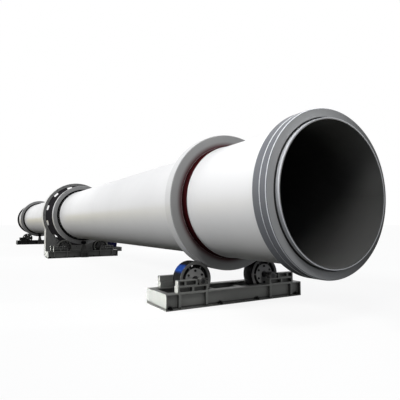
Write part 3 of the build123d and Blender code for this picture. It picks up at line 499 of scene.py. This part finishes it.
# %% [markdown]
# ## Making a piece
# Each added piece starts as an empty bmesh. One function closes the job: it turns the faces
# outwards, makes the object at the origin, smooths it up to a crease of 35 degrees, and hands it
# to the body that it moves with. Another softens edges, with all that the bevel has to be told.

# %% Piece maker
CREASE = radians(35)


def make_piece(name, mesh, body, material):
    """The bmesh as an object that rides on a body."""
    bmesh.ops.recalc_face_normals(mesh, faces=mesh.faces[:])
    data = bpy.data.meshes.new(name)
    mesh.to_mesh(data)
    mesh.free()
    data.shade_smooth()
    data.set_sharp_from_angle(angle=CREASE)
    data.materials.append(material)
    piece = bpy.data.objects.new(name, data)
    bpy.context.scene.collection.objects.link(piece)
    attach(piece, body)
    print(name, len(data.polygons), "faces on", body)


def soften(mesh, edges, offset, segments):
    """Bevels edges as the editor's own tool does."""
    bmesh.ops.bevel(
        mesh, geom=list(edges), offset=offset, offset_type="OFFSET",
        affect="EDGES", segments=segments, profile=0.5, material=-1,
    )


# %% [markdown]
# ## Bolts
# A bolt seen from outside is a washer, a hexagon with its corners turned off, and sometimes the
# end of a stud. Each is a short prism with its top edge bevelled, and no thread is cut because
# none would show. One master is made for each size, then copied to every hole, and the copies of
# one place are joined in one piece.

# %% Bolt maker
# Radii and bevels as shares of the width across flats, and the washer's bevel as one of its height.
WASHER_R, HEAD_R, STUD_R = 0.68, 0.577, 0.31
WASHER_EDGE, HEAD_EDGE, STUD_EDGE = 0.3, 0.07, 0.05


def prism(mesh, radius, low, high, segments, edge):
    """An upright prism from low to high whose top rim is bevelled."""
    middle = (low + high) / 2
    sizes = {"segments": segments, "radius1": radius, "radius2": radius, "depth": high - low}
    verts = bmesh.ops.create_cone(mesh, cap_ends=True, **sizes)["verts"]
    bmesh.ops.translate(mesh, verts=verts, vec=(0, 0, middle))
    edges = dict.fromkeys(e for v in verts for e in v.link_edges)
    soften(mesh, [e for e in edges if all(v.co.z > middle for v in e.verts)], edge, 1)


def bolt_master(across, head, washer, stud):
    """A bolt standing on z = 0: washer, hexagon, and a stud end where it has one."""
    mesh = bmesh.new()
    top = washer + head
    prism(mesh, across * WASHER_R, 0.0, washer, 16, washer * WASHER_EDGE)
    prism(mesh, across * HEAD_R, washer, top, 6, across * HEAD_EDGE)
    if stud:
        prism(mesh, across * STUD_R, top, top + stud, 12, across * STUD_EDGE)
    data = bpy.data.meshes.new("bolt_master")
    mesh.to_mesh(data)
    mesh.free()
    print("bolt", round(across / MM), "mm across flats,", len(data.polygons), "faces")
    return data


def bolt_group(name, body, master, places):
    """Copies of one bolt at each (point, direction), joined in one piece."""
    mesh = bmesh.new()
    for point, direction in places:
        start = len(mesh.verts)
        mesh.from_mesh(master)
        mesh.verts.ensure_lookup_table()
        turn = Vector(direction).to_track_quat("Z", "Y").to_matrix().to_4x4()
        move = Matrix.Translation(point) @ turn
        bmesh.ops.transform(mesh, matrix=move, verts=mesh.verts[start:])
    make_piece(name, mesh, body, bolt_steel)


anchor_bolt = bolt_master(85 * MM, 36 * MM, 12 * MM, 14 * MM)
hub_bolt = bolt_master(40 * MM, 20 * MM, 5 * MM, 0)
cap_bolt = bolt_master(34 * MM, 20 * MM, 5 * MM, 12 * MM)
sheet_bolt = bolt_master(28 * MM, 14 * MM, 4 * MM, 0)

# %% [markdown]
# ## Anchor bolts on the frames
# Each frame is held down by eight anchors through its bottom flanges. The record states the two
# hole patterns of each station, so the bolts take their places from it and stand on the flange.

# %% Anchor bolts
FLANGE = 24 * MM


def corners(x, y, half_x, half_y, z):
    """The four corners of a rectangle, each pointing up."""
    signs = [(sx, sy) for sx in (1, -1) for sy in (1, -1)]
    return [(Vector((x + sx * half_x, y + sy * half_y, z)), UP) for sx, sy in signs]


for station in STATIONS:
    places = []
    for mount in record["mounts"]:
        if mount["name"].startswith(station + "_anchors"):
            x, y, _ = mount["pos_m"]
            half_x = mount["dims"]["spacing_x_mm"] * MM / 2
            half_y = mount["dims"]["spacing_y_mm"] * MM / 2
            places += corners(x, y, half_x, half_y, FLANGE)
    bolt_group(station + "_anchor_bolts", "plant", anchor_bolt, places)

# %% [markdown]
# ## Bolts on the rollers and bearings
# Six bolts on each roller face hold the hub plate to the casting, and two on each bearing hold
# its cap down. The first turn with the roller, the second stay with the frame, so they are
# separate pieces.

# %% Roller and bearing bolts
HUB_BOLTS = 6
HUB_CIRCLE = 190 * MM
HUB_START = radians(30)
HUB_SETBACK = 20 * MM
EAR_REACH = 100 * MM
EAR_TOP = 18 * MM
BEARING_HALF = 60 * MM


def face_rings(front, back, centre, radius, count, start=0.0):
    """Points on a circle round a centre on two faces across X, pointing away from each other."""
    angles = [start + 2 * pi * i / count for i in range(count)]
    circle = [(centre.y + radius * cos(a), centre.z + radius * sin(a)) for a in angles]
    faces = ((front, (1, 0, 0)), (back, (-1, 0, 0)))
    return [(Vector((x, y, z)), direction) for x, direction in faces for y, z in circle]


for station in STATIONS:
    cap_places = []
    bearing_low, bearing_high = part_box(station + "_bearings")
    for side in SIDES:
        roller = f"{station}_{side}"
        centre = pivot[roller + "_spin"]
        low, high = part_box(roller + "_roller")
        faces = (high.x - HUB_SETBACK, low.x + HUB_SETBACK)
        hub_places = face_rings(*faces, centre, HUB_CIRCLE, HUB_BOLTS, HUB_START)
        bolt_group(roller + "_hub_bolts", roller + "_support", hub_bolt, hub_places)
        for x in (bearing_low.x + BEARING_HALF, bearing_high.x - BEARING_HALF):
            for ear in (-EAR_REACH, EAR_REACH):
                cap_places.append((Vector((x, centre.y + ear, centre.z + EAR_TOP)), UP))
    bolt_group(station + "_cap_bolts", "plant", cap_bolt, cap_places)

# %% [markdown]
# ## Weld beads
# The tube is built of rolled cans about two metres long, joined by welds round the tube and
# along each can. A bump would do from afar, but a bead is a real form: a low half-round, so its
# section is an arc of a few points that is spun round the axis, or drawn out along the can. The
# pads are welded to the tube with taller beads.

# %% Weld beads on the tube
BEAD_HALF = 14 * MM
SEAM_RISE = 2 * MM
PAD_RISE = 12 * MM
BEAD_POINTS = 5
RING_STEPS = 128
CANS = 18
SEAM_TURN = radians(-100)
SEAM_STAGGER = radians(40)
HIDDEN_MARGIN = 60 * MM
HIDING = [station + "_pads" for station in STATIONS]
HIDING += ["gear_web", "feed_ring", "nose_ring_rear", "nose_ring_front"]


def half_round(half, rise):
    """The section of a bead as (across, up) pairs."""
    angles = [pi * i / (BEAD_POINTS - 1) for i in range(BEAD_POINTS)]
    return [(-half * cos(a), rise * sin(a)) for a in angles]


def spin_round(mesh, geom, centre, steps):
    """Points and edges spun once round a line along X."""
    turn = {"axis": (1, 0, 0), "angle": 2 * pi, "steps": steps, "use_merge": True}
    bmesh.ops.spin(mesh, geom=geom, cent=centre, **turn)


def spin_section(mesh, points, centre, steps):
    """A closed chain of points spun once round a line along X."""
    verts = [mesh.verts.new(point) for point in points]
    edges = [mesh.edges.new(pair) for pair in zip(verts, verts[1:] + verts[:1])]
    spin_round(mesh, verts + edges, centre, steps)


def ring_bead(mesh, x, rise):
    """A bead round the tube at x."""
    section = half_round(BEAD_HALF, rise)
    points = [(x + across, 0.0, axis_z + shell_r + up) for across, up in section]
    spin_section(mesh, points, (0, 0, axis_z), RING_STEPS)


def straight_bead(mesh, start, length, turn):
    """A bead along the tube, drawn out from its section and turned round the axis."""
    section = half_round(BEAD_HALF, SEAM_RISE)
    verts = [mesh.verts.new((start, across, axis_z + shell_r + up)) for across, up in section]
    end = [mesh.faces.new(verts)]
    grown = bmesh.ops.extrude_face_region(mesh, geom=end, use_keep_orig=True)["geom"]
    drawn = [part for part in grown if isinstance(part, bmesh.types.BMVert)]
    bmesh.ops.translate(mesh, verts=drawn, vec=(length, 0, 0))
    around = Matrix.Rotation(turn, 3, "X")
    bmesh.ops.rotate(mesh, verts=verts + drawn, cent=(0, 0, axis_z), matrix=around)


def covered(x):
    """True where a pad, a ring or the gear hides the tube."""
    boxes = [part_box(node) for node in HIDING]
    return any(low.x - HIDDEN_MARGIN < x < high.x + HIDDEN_MARGIN for low, high in boxes)


seams = bmesh.new()
can_length = (shell_high.x - shell_low.x) / CANS
for i in range(1, CANS):
    seam_x = shell_low.x + i * can_length
    if not covered(seam_x):
        ring_bead(seams, seam_x, SEAM_RISE)
for i in range(CANS):
    turn = SEAM_TURN if i % 2 else SEAM_TURN + SEAM_STAGGER
    straight_bead(seams, shell_low.x + i * can_length, can_length, turn)
make_piece("tube_weld_seams", seams, "kiln", tube_white)

pad_welds = bmesh.new()
for station in STATIONS:
    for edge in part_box(station + "_pads"):
        ring_bead(pad_welds, edge.x, PAD_RISE)
make_piece("pad_weld_beads", pad_welds, "kiln", tube_white)

# %% [markdown]
# ## Bolts on the gear guard
# The guard's face plates are thin sheet, bolted to the bent cover near their rim, so that the
# gear can be reached. The bolts follow the rim in an even ring on both faces.

# %% Guard bolts
GUARD_BOLTS = 28
GUARD_INSET = 70 * MM
kiln_axis = pivot["kiln_spin"]
guard_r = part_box("guard_cover")[1].z - axis_z - GUARD_INSET
guard_faces = (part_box("guard_front")[1].x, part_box("guard_back")[0].x)
guard_places = face_rings(*guard_faces, kiln_axis, guard_r, GUARD_BOLTS)
bolt_group("guard_rim_bolts", "plant", sheet_bolt, guard_places)

# %% [markdown]
# ## Bolts on the feed ring and the pinion shaft
# The feed ring is a flange for the inlet seal, so it carries an even ring of bolts. The two halves
# of the pinion shaft's coupling are bolted face to face, and so are the covers of the two bearings
# that it runs in. Each ring is made like those on the rollers, with its own centre and radius.

# %% Feed ring and pinion shaft bolts
FEED_BOLTS = 40
FEED_CIRCLE = shell_r + 65 * MM
COUPLING_BOLTS = 8
COUPLING_BACK = 310 * MM
COUPLING_HALF = 35 * MM
COUPLING_CIRCLE = 150 * MM
STAND_BOLTS = 6
STAND_WIDTH = 200 * MM
STAND_CIRCLE = 97 * MM
SOLE_TOP = 40 * MM
SOLE_HALF = 60 * MM
SOLE_INSET = 30 * MM
feed_low, feed_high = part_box("feed_ring")
feed_places = face_rings(feed_high.x, feed_low.x, kiln_axis, FEED_CIRCLE, FEED_BOLTS)
bolt_group("feed_ring_bolts", "kiln", hub_bolt, feed_places)

pinion = pivot["pinion_spin"]
coupling_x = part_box("pinion_shaft")[0].x + COUPLING_BACK
coupling_faces = (coupling_x + COUPLING_HALF, coupling_x - COUPLING_HALF)
coupling_places = face_rings(*coupling_faces, pinion, COUPLING_CIRCLE, COUPLING_BOLTS)
bolt_group("pinion_coupling_bolts", "pinion_drive", cap_bolt, coupling_places)

stand_low, stand_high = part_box("pinion_stands")
sole_half_y = stand_high.y - pinion.y - SOLE_INSET
cover_places, sole_places = [], []
for front in (stand_high.x, stand_low.x + STAND_WIDTH):
    cover_places += face_rings(front, front - STAND_WIDTH, pinion, STAND_CIRCLE, STAND_BOLTS)
    middle = front - STAND_WIDTH / 2
    sole_places += corners(middle, pinion.y, SOLE_HALF, sole_half_y, SOLE_TOP)
bolt_group("pinion_cover_bolts", "plant", sheet_bolt, cover_places)
bolt_group("pinion_sole_bolts", "plant", cap_bolt, sole_places)

# %% [markdown]
# ## Fittings on the reducer
# A reducer's case is split at its flange and bolted all round, and a cover on top lets a fitter
# look at the gears. The cover is a slab with rounded edges. The case's top falls slightly from
# the pinion to the motor, so the slab is tilted to lie on it, sunk a millimetre so that no gap
# shows, and a breather stands beside it.

# %% Reducer fittings
SUNK = 1 * MM
CASE_SLOPE = radians(6.83)
CASE_BACK = 390 * MM
FLANGE_BACK = 37.5 * MM
FLANGE_TOP = 228 * MM
FLANGE_EDGE = 11 * MM
FLANGE_BOLTS, FLANGE_FIRST, FLANGE_PITCH = 13, 110 * MM, 163 * MM
COVER_SIZE = Vector((400, 460, 16)) * MM
COVER_EDGE = 5 * MM
COVER_INSET = 28 * MM
COVER_ALONG = 620 * MM
BREATHER_ALONG = 960 * MM
STEM_RADIUS, STEM_TOP, STEM_EDGE = 22 * MM, 40 * MM, 3 * MM
HOOD_RADIUS, HOOD_TOP, HOOD_EDGE = 34 * MM, 75 * MM, 8 * MM


def slab(mesh, size, edge, place):
    """A box with rounded edges that stands on its own z = 0, moved by a matrix."""
    start = len(mesh.verts)
    verts = bmesh.ops.create_cube(mesh, size=1.0)["verts"]
    bmesh.ops.scale(mesh, verts=verts, vec=size)
    bmesh.ops.translate(mesh, verts=verts, vec=(0, 0, size[2] / 2))
    soften(mesh, dict.fromkeys(e for v in verts for e in v.link_edges), edge, 2)
    mesh.verts.ensure_lookup_table()
    bmesh.ops.transform(mesh, matrix=place, verts=mesh.verts[start:])


def slab_bolts(size, inset, place):
    """Bolt places at the corners and half way along the sides of a slab's top."""
    half_x, half_y = size[0] / 2 - inset, size[1] / 2 - inset
    spots = [(sx * half_x, sy * half_y) for sx in (-1, 0, 1) for sy in (-1, 0, 1) if sx or sy]
    up = place.to_3x3() @ Vector(UP)
    return [(place @ Vector((x, y, size[2])), up) for x, y in spots]


case_low, case_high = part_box("reducer")
coupling_low, coupling_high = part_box("motor_coupling")
case_up = Vector((0, sin(CASE_SLOPE), cos(CASE_SLOPE)))
case_along = Vector((0, cos(CASE_SLOPE), -sin(CASE_SLOPE)))
case_start = Vector((coupling_low.x - CASE_BACK, pinion.y, pinion.z))
case_start += case_up * (case_high.z - pinion.z - SUNK)
tilt = Matrix.Rotation(-CASE_SLOPE, 4, "X")
cover_place = Matrix.Translation(case_start + case_along * COVER_ALONG) @ tilt
cover = bmesh.new()
slab(cover, COVER_SIZE, COVER_EDGE, cover_place)
make_piece("reducer_cover", cover, "plant", frame_grey)

breather = bmesh.new()
prism(breather, STEM_RADIUS, 0.0, STEM_TOP, 16, STEM_EDGE)
prism(breather, HOOD_RADIUS, STEM_TOP, HOOD_TOP, 24, HOOD_EDGE)
breather_place = Matrix.Translation(case_start + case_along * BREATHER_ALONG) @ tilt
bmesh.ops.transform(breather, matrix=breather_place, verts=breather.verts[:])
make_piece("reducer_breather", breather, "plant", bolt_steel)

flange_z = case_low.z + FLANGE_TOP
flange_xs = (case_low.x + FLANGE_EDGE, coupling_low.x - FLANGE_BACK - FLANGE_EDGE)
flange_ys = [case_low.y + FLANGE_FIRST + i * FLANGE_PITCH for i in range(FLANGE_BOLTS)]
flange_places = [(Vector((x, y, flange_z)), UP) for x in flange_xs for y in flange_ys]
cover_bolts = slab_bolts(COVER_SIZE, COVER_INSET, cover_place)
small_bolt = bolt_master(17 * MM, 10 * MM, 2 * MM, 0)
bolt_group("reducer_flange_bolts", "plant", small_bolt, flange_places)
bolt_group("reducer_cover_bolts", "plant", sheet_bolt, cover_bolts)

# %% [markdown]
# ## Wire guard of the motor's fan
# The motor's cooling fan sits behind a wire guard. A ring of wire is a half-round section spun
# round the motor's axis, and a spoke is a slim slab with rounded edges, turned into its place.
# Curves would make the same wires, but the bead and slab helpers are already there.

# %% Fan guard
WIRE = 5 * MM
FAN_RINGS = (35, 65, 95, 125, 155)
FAN_STEPS = 48
SPOKES = 8
SPOKE_INNER, SPOKE_OUTER = 30 * MM, 160 * MM
motor_low, motor_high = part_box("motor")
motor_y = (coupling_low.y + coupling_high.y) / 2
motor_z = (coupling_low.z + coupling_high.z) / 2
fan_centre = Vector((motor_high.x, motor_y, motor_z))
wire_section = half_round(WIRE, 2 * WIRE)
grille = bmesh.new()
for ring_mm in FAN_RINGS:
    ring = [fan_centre + Vector((up, 0, ring_mm * MM + across)) for across, up in wire_section]
    spin_section(grille, ring, fan_centre, FAN_STEPS)
spoke_size = (SPOKE_OUTER - SPOKE_INNER, 2 * WIRE, 1.4 * WIRE)
spoke_middle = Matrix.Translation((0, 0, (SPOKE_INNER + SPOKE_OUTER) / 2))
upright = spoke_middle @ Matrix.Rotation(pi / 2, 4, "Y")
for i in range(SPOKES):
    around = Matrix.Rotation(2 * pi * i / SPOKES, 4, "X")
    slab(grille, spoke_size, WIRE / 3, Matrix.Translation(fan_centre) @ around @ upright)
make_piece("motor_fan_guard", grille, "plant", motor_navy)

# %% [markdown]
# ## Lifting eye and terminal box
# A motor is lifted by an eye on its frame: a small circle spun into a ring, which a torus would
# give as well, but the spin leaves the circle free to change. The terminal box has a screwed lid,
# made by the slab helper, and a gland for the cable that comes on site.

# %% Lifting eye and terminal box
EYE_WIRE, EYE_RADIUS = 8 * MM, 28 * MM
EYE_ALONG, EYE_ABOVE = 65 * MM, 26 * MM
LID_SIZE = Vector((166, 166, 14)) * MM
LID_EDGE = 4 * MM
SCREW_INSET = 14 * MM
NUT_RADIUS, NUT_TOP, NUT_EDGE = 20 * MM, 18 * MM, 2 * MM
SLEEVE_RADIUS, SLEEVE_TOP, SLEEVE_EDGE = 14 * MM, 34 * MM, 3 * MM
GLAND_OUT, GLAND_DOWN = 75 * MM, 20 * MM
eye = bmesh.new()
wire = bmesh.ops.create_circle(eye, segments=12, radius=EYE_WIRE)["verts"]
bmesh.ops.rotate(eye, verts=wire, cent=(0, 0, 0), matrix=Matrix.Rotation(pi / 2, 3, "X"))
bmesh.ops.translate(eye, verts=wire, vec=(0, 0, EYE_RADIUS))
spin_round(eye, eye.verts[:] + eye.edges[:], (0, 0, 0), 24)
eye_z = motor_z + ((motor_high.y - motor_low.y) / 2 + EYE_ABOVE)
bmesh.ops.translate(eye, verts=eye.verts[:], vec=(motor_low.x + EYE_ALONG, motor_y, eye_z))
make_piece("motor_lifting_eye", eye, "plant", motor_navy)

box_x = (motor_low.x + motor_high.x) / 2
lid_place = Matrix.Translation((box_x, motor_y, motor_high.z - SUNK))
lid = bmesh.new()
slab(lid, LID_SIZE, LID_EDGE, lid_place)
make_piece("terminal_lid", lid, "plant", motor_navy)

gland = bmesh.new()
prism(gland, NUT_RADIUS, 0.0, NUT_TOP, 6, NUT_EDGE)
prism(gland, SLEEVE_RADIUS, NUT_TOP, SLEEVE_TOP, 16, SLEEVE_EDGE)
gland_spot = Matrix.Translation((box_x, motor_y + GLAND_OUT, motor_high.z - GLAND_DOWN))
sideways = Matrix.Rotation(-pi / 2, 4, "X")
bmesh.ops.transform(gland, matrix=gland_spot @ sideways, verts=gland.verts[:])
make_piece("terminal_gland", gland, "plant", bolt_steel)
lid_screws = slab_bolts(LID_SIZE, SCREW_INSET, lid_place)
bolt_group("terminal_lid_screws", "plant", small_bolt, lid_screws)

# %% [markdown]
# ## Anchor bolts and posts of the plinth
# The plinth under the drive is held like the frames, by bolts that stand on its bottom flange in
# the bays between its ribs. They are set out from the plinth's own box, two to a bay on the long
# sides. Square posts close its four corners, where the top plate would hang over an open bay.

# %% Plinth bolts and posts
PLINTH_FLANGE = 26 * MM
PLINTH_BAYS = 3
BAY_SHARES = (0.2, 0.8)
BAY_INSET = 31 * MM
POST_WIDTH = 58 * MM
POST_INSET = 30 * MM
POST_EDGE = 3 * MM
plinth_low, plinth_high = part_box("drive_plinth")
bay = (plinth_high.y - plinth_low.y) / PLINTH_BAYS
bay_ys = [plinth_low.y + bay * (i + share) for i in range(PLINTH_BAYS) for share in BAY_SHARES]
bay_xs = (plinth_low.x + BAY_INSET, plinth_high.x - BAY_INSET)
plinth_places = [(Vector((x, y, PLINTH_FLANGE)), UP) for y in bay_ys for x in bay_xs]
plinth_bolt = bolt_master(42 * MM, 26 * MM, 6 * MM, 10 * MM)
bolt_group("plinth_anchor_bolts", "plant", plinth_bolt, plinth_places)

posts = bmesh.new()
post_height = plinth_high.z - plinth_low.z - 2 * PLINTH_FLANGE
for x in (plinth_low.x + POST_INSET, plinth_high.x - POST_INSET):
    for y in (plinth_low.y + POST_INSET, plinth_high.y - POST_INSET):
        post_place = Matrix.Translation((x, y, PLINTH_FLANGE))
        slab(posts, (POST_WIDTH, POST_WIDTH, post_height), POST_EDGE, post_place)
make_piece("plinth_corner_posts", posts, "plant", frame_grey)

# %% [markdown]
# ## Thrust roller at the feed end
# The far tyre leans on an idle roller like the one that holds the middle tyre. Both stations
# have the same frame, so the middle roller and its bracket are copied and set back by the distance
# between the tyres. A solid's mesh is loose triangles, so the copy is merged first. Four small
# bolts hold the pin of each roller.

# %% Far thrust roller and pin bolts
WELD_DISTANCE = 0.01 * MM
PIN_HALF = 19 * MM


def copied_solid(name, node, shift, body):
    """A merged copy of a solid, moved along the kiln."""
    source = frame["nodes"][node].data
    mesh = bmesh.new()
    mesh.from_mesh(source)
    bmesh.ops.remove_doubles(mesh, verts=mesh.verts[:], dist=WELD_DISTANCE)
    bmesh.ops.translate(mesh, verts=mesh.verts[:], vec=shift)
    make_piece(name, mesh, body, source.materials[0])


to_far = pivot["far_left_spin"] - pivot["mid_left_spin"]
copied_solid("far_thrust_roller", "thrust_roller", to_far, "plant")
copied_solid("far_thrust_bracket", "thrust_bracket", to_far, "plant")
pin_x, pin_y, _ = pivot["thrust_spin"]
pin_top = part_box("thrust_bracket")[1].z
pin_corners = corners(pin_x, pin_y, PIN_HALF, PIN_HALF, pin_top)
pin_places = [(point + shift, UP) for point, _ in pin_corners for shift in (Vector(), to_far)]
bolt_group("thrust_pin_bolts", "plant", small_bolt, pin_places)

# %% [markdown]
# ## Plain studio
# The floor is pale and wide. The camera sees it nearly white, with a share of the object's soft
# shadow left in it. To bounced light it is a darker grey, so that the underside of the tube stays
# as dark as it is out of doors. Gloss sees open ground on the left, cream beside the long tube and
# cooler in front, and dark ground on the drive side. A Light Path node tells these rays apart.

# %% Floor
FLOOR_HALF = 900.0
FLOOR_DROP = 1 * MM
SHADOW_SHARE = 0.12
OPEN_FROM, OPEN_TO = -2.0, -9.0
COOL_FROM, COOL_TO = 4.0, 14.0


def floor_finish():
    material, tree, place = start_finish("pale_studio_floor")
    mottle = add_node(tree, "TexNoise", patches_of(place, 900))
    pale = add_node(tree, "Mix", layers(mottle, "f4f4f2", "efefec"), MIXED, data_type="RGBA")
    x = add_node(tree, "SeparateXYZ", {0: place}, "X")
    left = {"Value": x.node.outputs["Y"], "From Min": OPEN_FROM, "From Max": OPEN_TO}
    open_ground = add_node(tree, "MapRange", left)
    cool = add_node(tree, "MapRange", {"Value": x, "From Min": COOL_FROM, "From Max": COOL_TO})
    tint = add_node(tree, "Mix", layers(cool, "cbbb6a", "98a8b2"), MIXED, data_type="RGBA")
    ground = add_node(tree, "Mix", layers(open_ground, "3c3e3c", tint), MIXED, data_type="RGBA")
    under = add_node(tree, "Mix", layers(cool, "4c4a43", "4d4d49"), MIXED, data_type="RGBA")

    glow = add_node(tree, "Emission", {"Color": "ffffff", "Strength": 1.0})
    shaded = add_node(tree, "BsdfDiffuse", {"Color": pale})
    seen = add_node(tree, "MixShader", {0: SHADOW_SHARE, 1: glow, 2: shaded})
    bounce = add_node(tree, "BsdfDiffuse", {"Color": under})
    mirrored = add_node(tree, "BsdfDiffuse", {"Color": ground})
    glossy_ray = add_node(tree, "LightPath", output="Is Glossy Ray")
    indirect = add_node(tree, "MixShader", {0: glossy_ray, 1: bounce, 2: mirrored})
    camera_ray = glossy_ray.node.outputs["Is Camera Ray"]
    surface = add_node(tree, "MixShader", {0: camera_ray, 1: indirect, 2: seen})
    add_node(tree, "OutputMaterial", {"Surface": surface})
    return material


floor_mesh = bmesh.new()
bmesh.ops.create_grid(floor_mesh, x_segments=1, y_segments=1, size=FLOOR_HALF)
bmesh.ops.translate(floor_mesh, verts=floor_mesh.verts[:], vec=(0, 0, -FLOOR_DROP))
floor_data = bpy.data.meshes.new("studio_floor")
floor_mesh.to_mesh(floor_data)
floor_mesh.free()
floor_data.materials.append(floor_finish())
floor = bpy.data.objects.new("studio_floor", floor_data)
bpy.context.scene.collection.objects.link(floor)
print("floor half width", FLOOR_HALF)

# %% [markdown]
# ## Sky
# The sky is an even soft light. The camera, gloss and glass see it white, and as a lamp it is
# dimmer. A backdrop would need a wall round the whole kiln, and the world needs none.

# %% Sky
SKY_LEVEL = 0.55
world = bpy.data.worlds.new("studio_sky")
bpy.context.scene.world = world
world.use_nodes = True
sky = world.node_tree
sky.nodes.clear()
lamp = add_node(sky, "Background", {"Color": "f4f6ff", "Strength": SKY_LEVEL})
white = add_node(sky, "Background", {"Color": "ffffff", "Strength": 1.0})
camera_ray = add_node(sky, "LightPath", output="Is Camera Ray")
rays = camera_ray.node.outputs
seen = add_node(sky, "Math", {0: camera_ray, 1: rays["Is Glossy Ray"]}, operation="MAXIMUM")
seen = add_node(sky, "Math", {0: seen, 1: rays["Is Transmission Ray"]}, operation="MAXIMUM")
both = add_node(sky, "MixShader", {0: seen, 1: lamp, 2: white})
add_node(sky, "OutputWorld", {"Surface": both})
print("sky level", SKY_LEVEL)

# %% [markdown]
# ## Lamps
# A broad sun stands on the left and a little behind, so the side and top of the tube are bright
# and its lower side falls off. Low narrow strips on the left pick out the ends of the frames, a
# soft disc in front of each station fills the tyre faces, one low lamp lights the front of the
# near frame, and a wide disc on the other side fills the drive. Of all these, only the sun shows
# in gloss.

# %% Sun, strips and fills
SUN_FROM = Vector((-0.34, -0.82, 0.46))
SUN = {"energy": 2.3, "angle": radians(12)}
STRIP = {"energy": 30.0, "shape": "RECTANGLE", "size": 2.4, "size_y": 0.4, "spread": radians(9)}
STRIP_OUT, STRIP_BACK, STRIP_UP = 7.0, 2.2, 0.25
FILL = {"shape": "DISK", "size": 3.5, "spread": radians(70)}
FILL_POWER = {"near": 80.0, "mid": 40.0, "far": 20.0}
FILL_FROM = Vector((6.8, -4.0, 9.5))
FILL_TARGET = Vector((1.2, 0.0, 1.8))
FRONT = {"energy": 1.5, "shape": "RECTANGLE", "size": 3.6, "size_y": 0.3, "spread": radians(7)}
FRONT_AHEAD, FRONT_LEFT, FRONT_UP = 7.0, 0.5, 0.28
DRIVE = {"energy": 350.0, "shape": "DISK", "size": 6.0, "spread": radians(120)}
DRIVE_FROM = Vector((-2.0, 12.0, 5.0))
DRIVE_TARGET = Vector((-3.0, 1.5, 0.8))


def add_lamp(name, kind, aim, place, settings):
    """A lamp at a place that shines along aim."""
    data = bpy.data.lights.new(name, kind)
    for key, value in settings.items():
        setattr(data, key, value)
    lamp_object = bpy.data.objects.new(name, data)
    lamp_object.location = place
    lamp_object.rotation_euler = Vector(aim).to_track_quat("-Z", "Y").to_euler()
    lamp_object.visible_camera = False
    lamp_object.visible_glossy = kind == "SUN"
    bpy.context.scene.collection.objects.link(lamp_object)


add_lamp("sun", "SUN", -SUN_FROM, (0, 0, 0), SUN)
for station in STATIONS:
    low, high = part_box(station + "_base")
    strip_place = ((low.x + high.x) / 2 - STRIP_BACK, low.y - STRIP_OUT, STRIP_UP)
    add_lamp(station + "_strip", "AREA", (STRIP_BACK, STRIP_OUT, 0), strip_place, STRIP)
for station in STATIONS:
    tyre_face = Vector((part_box(station + "_tyre")[1].x, 0, 0))
    fill_place = tyre_face + FILL_FROM
    fill = FILL | {"energy": FILL_POWER[station]}
    add_lamp(station + "_fill", "AREA", tyre_face + FILL_TARGET - fill_place, fill_place, fill)
front_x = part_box("near_base")[1].x
front_place = Vector((front_x + FRONT_AHEAD, -FRONT_LEFT, FRONT_UP))
front_aim = Vector((front_x, 0.0, FRONT_UP)) - front_place
add_lamp("front_low", "AREA", front_aim, front_place, FRONT)
add_lamp("drive_fill", "AREA", DRIVE_TARGET - DRIVE_FROM, DRIVE_FROM, DRIVE)
print("lamps:", len(bpy.data.lights))

# %% [markdown]
# ## Camera
# The camera stands in front of the mouth and to the left, a little below the tube's axis, with a
# moderate wide lens tipped up slightly. The lens is centred, so no shift is needed.

# %% Camera
camera_data = bpy.data.cameras.new("camera")
camera_data.sensor_width = 36.0
camera_data.lens = 34.93
camera_data.clip_end = 3000.0
camera = bpy.data.objects.new("camera", camera_data)
camera.location = (21.234, -5.128, 1.709)
camera.rotation_euler = (radians(93.61), 0.0, radians(59.65))
bpy.context.scene.collection.objects.link(camera)
bpy.context.scene.camera = camera
bpy.context.scene.view_settings.view_transform = "Standard"
print("camera lens", round(camera_data.lens, 2), "mm")
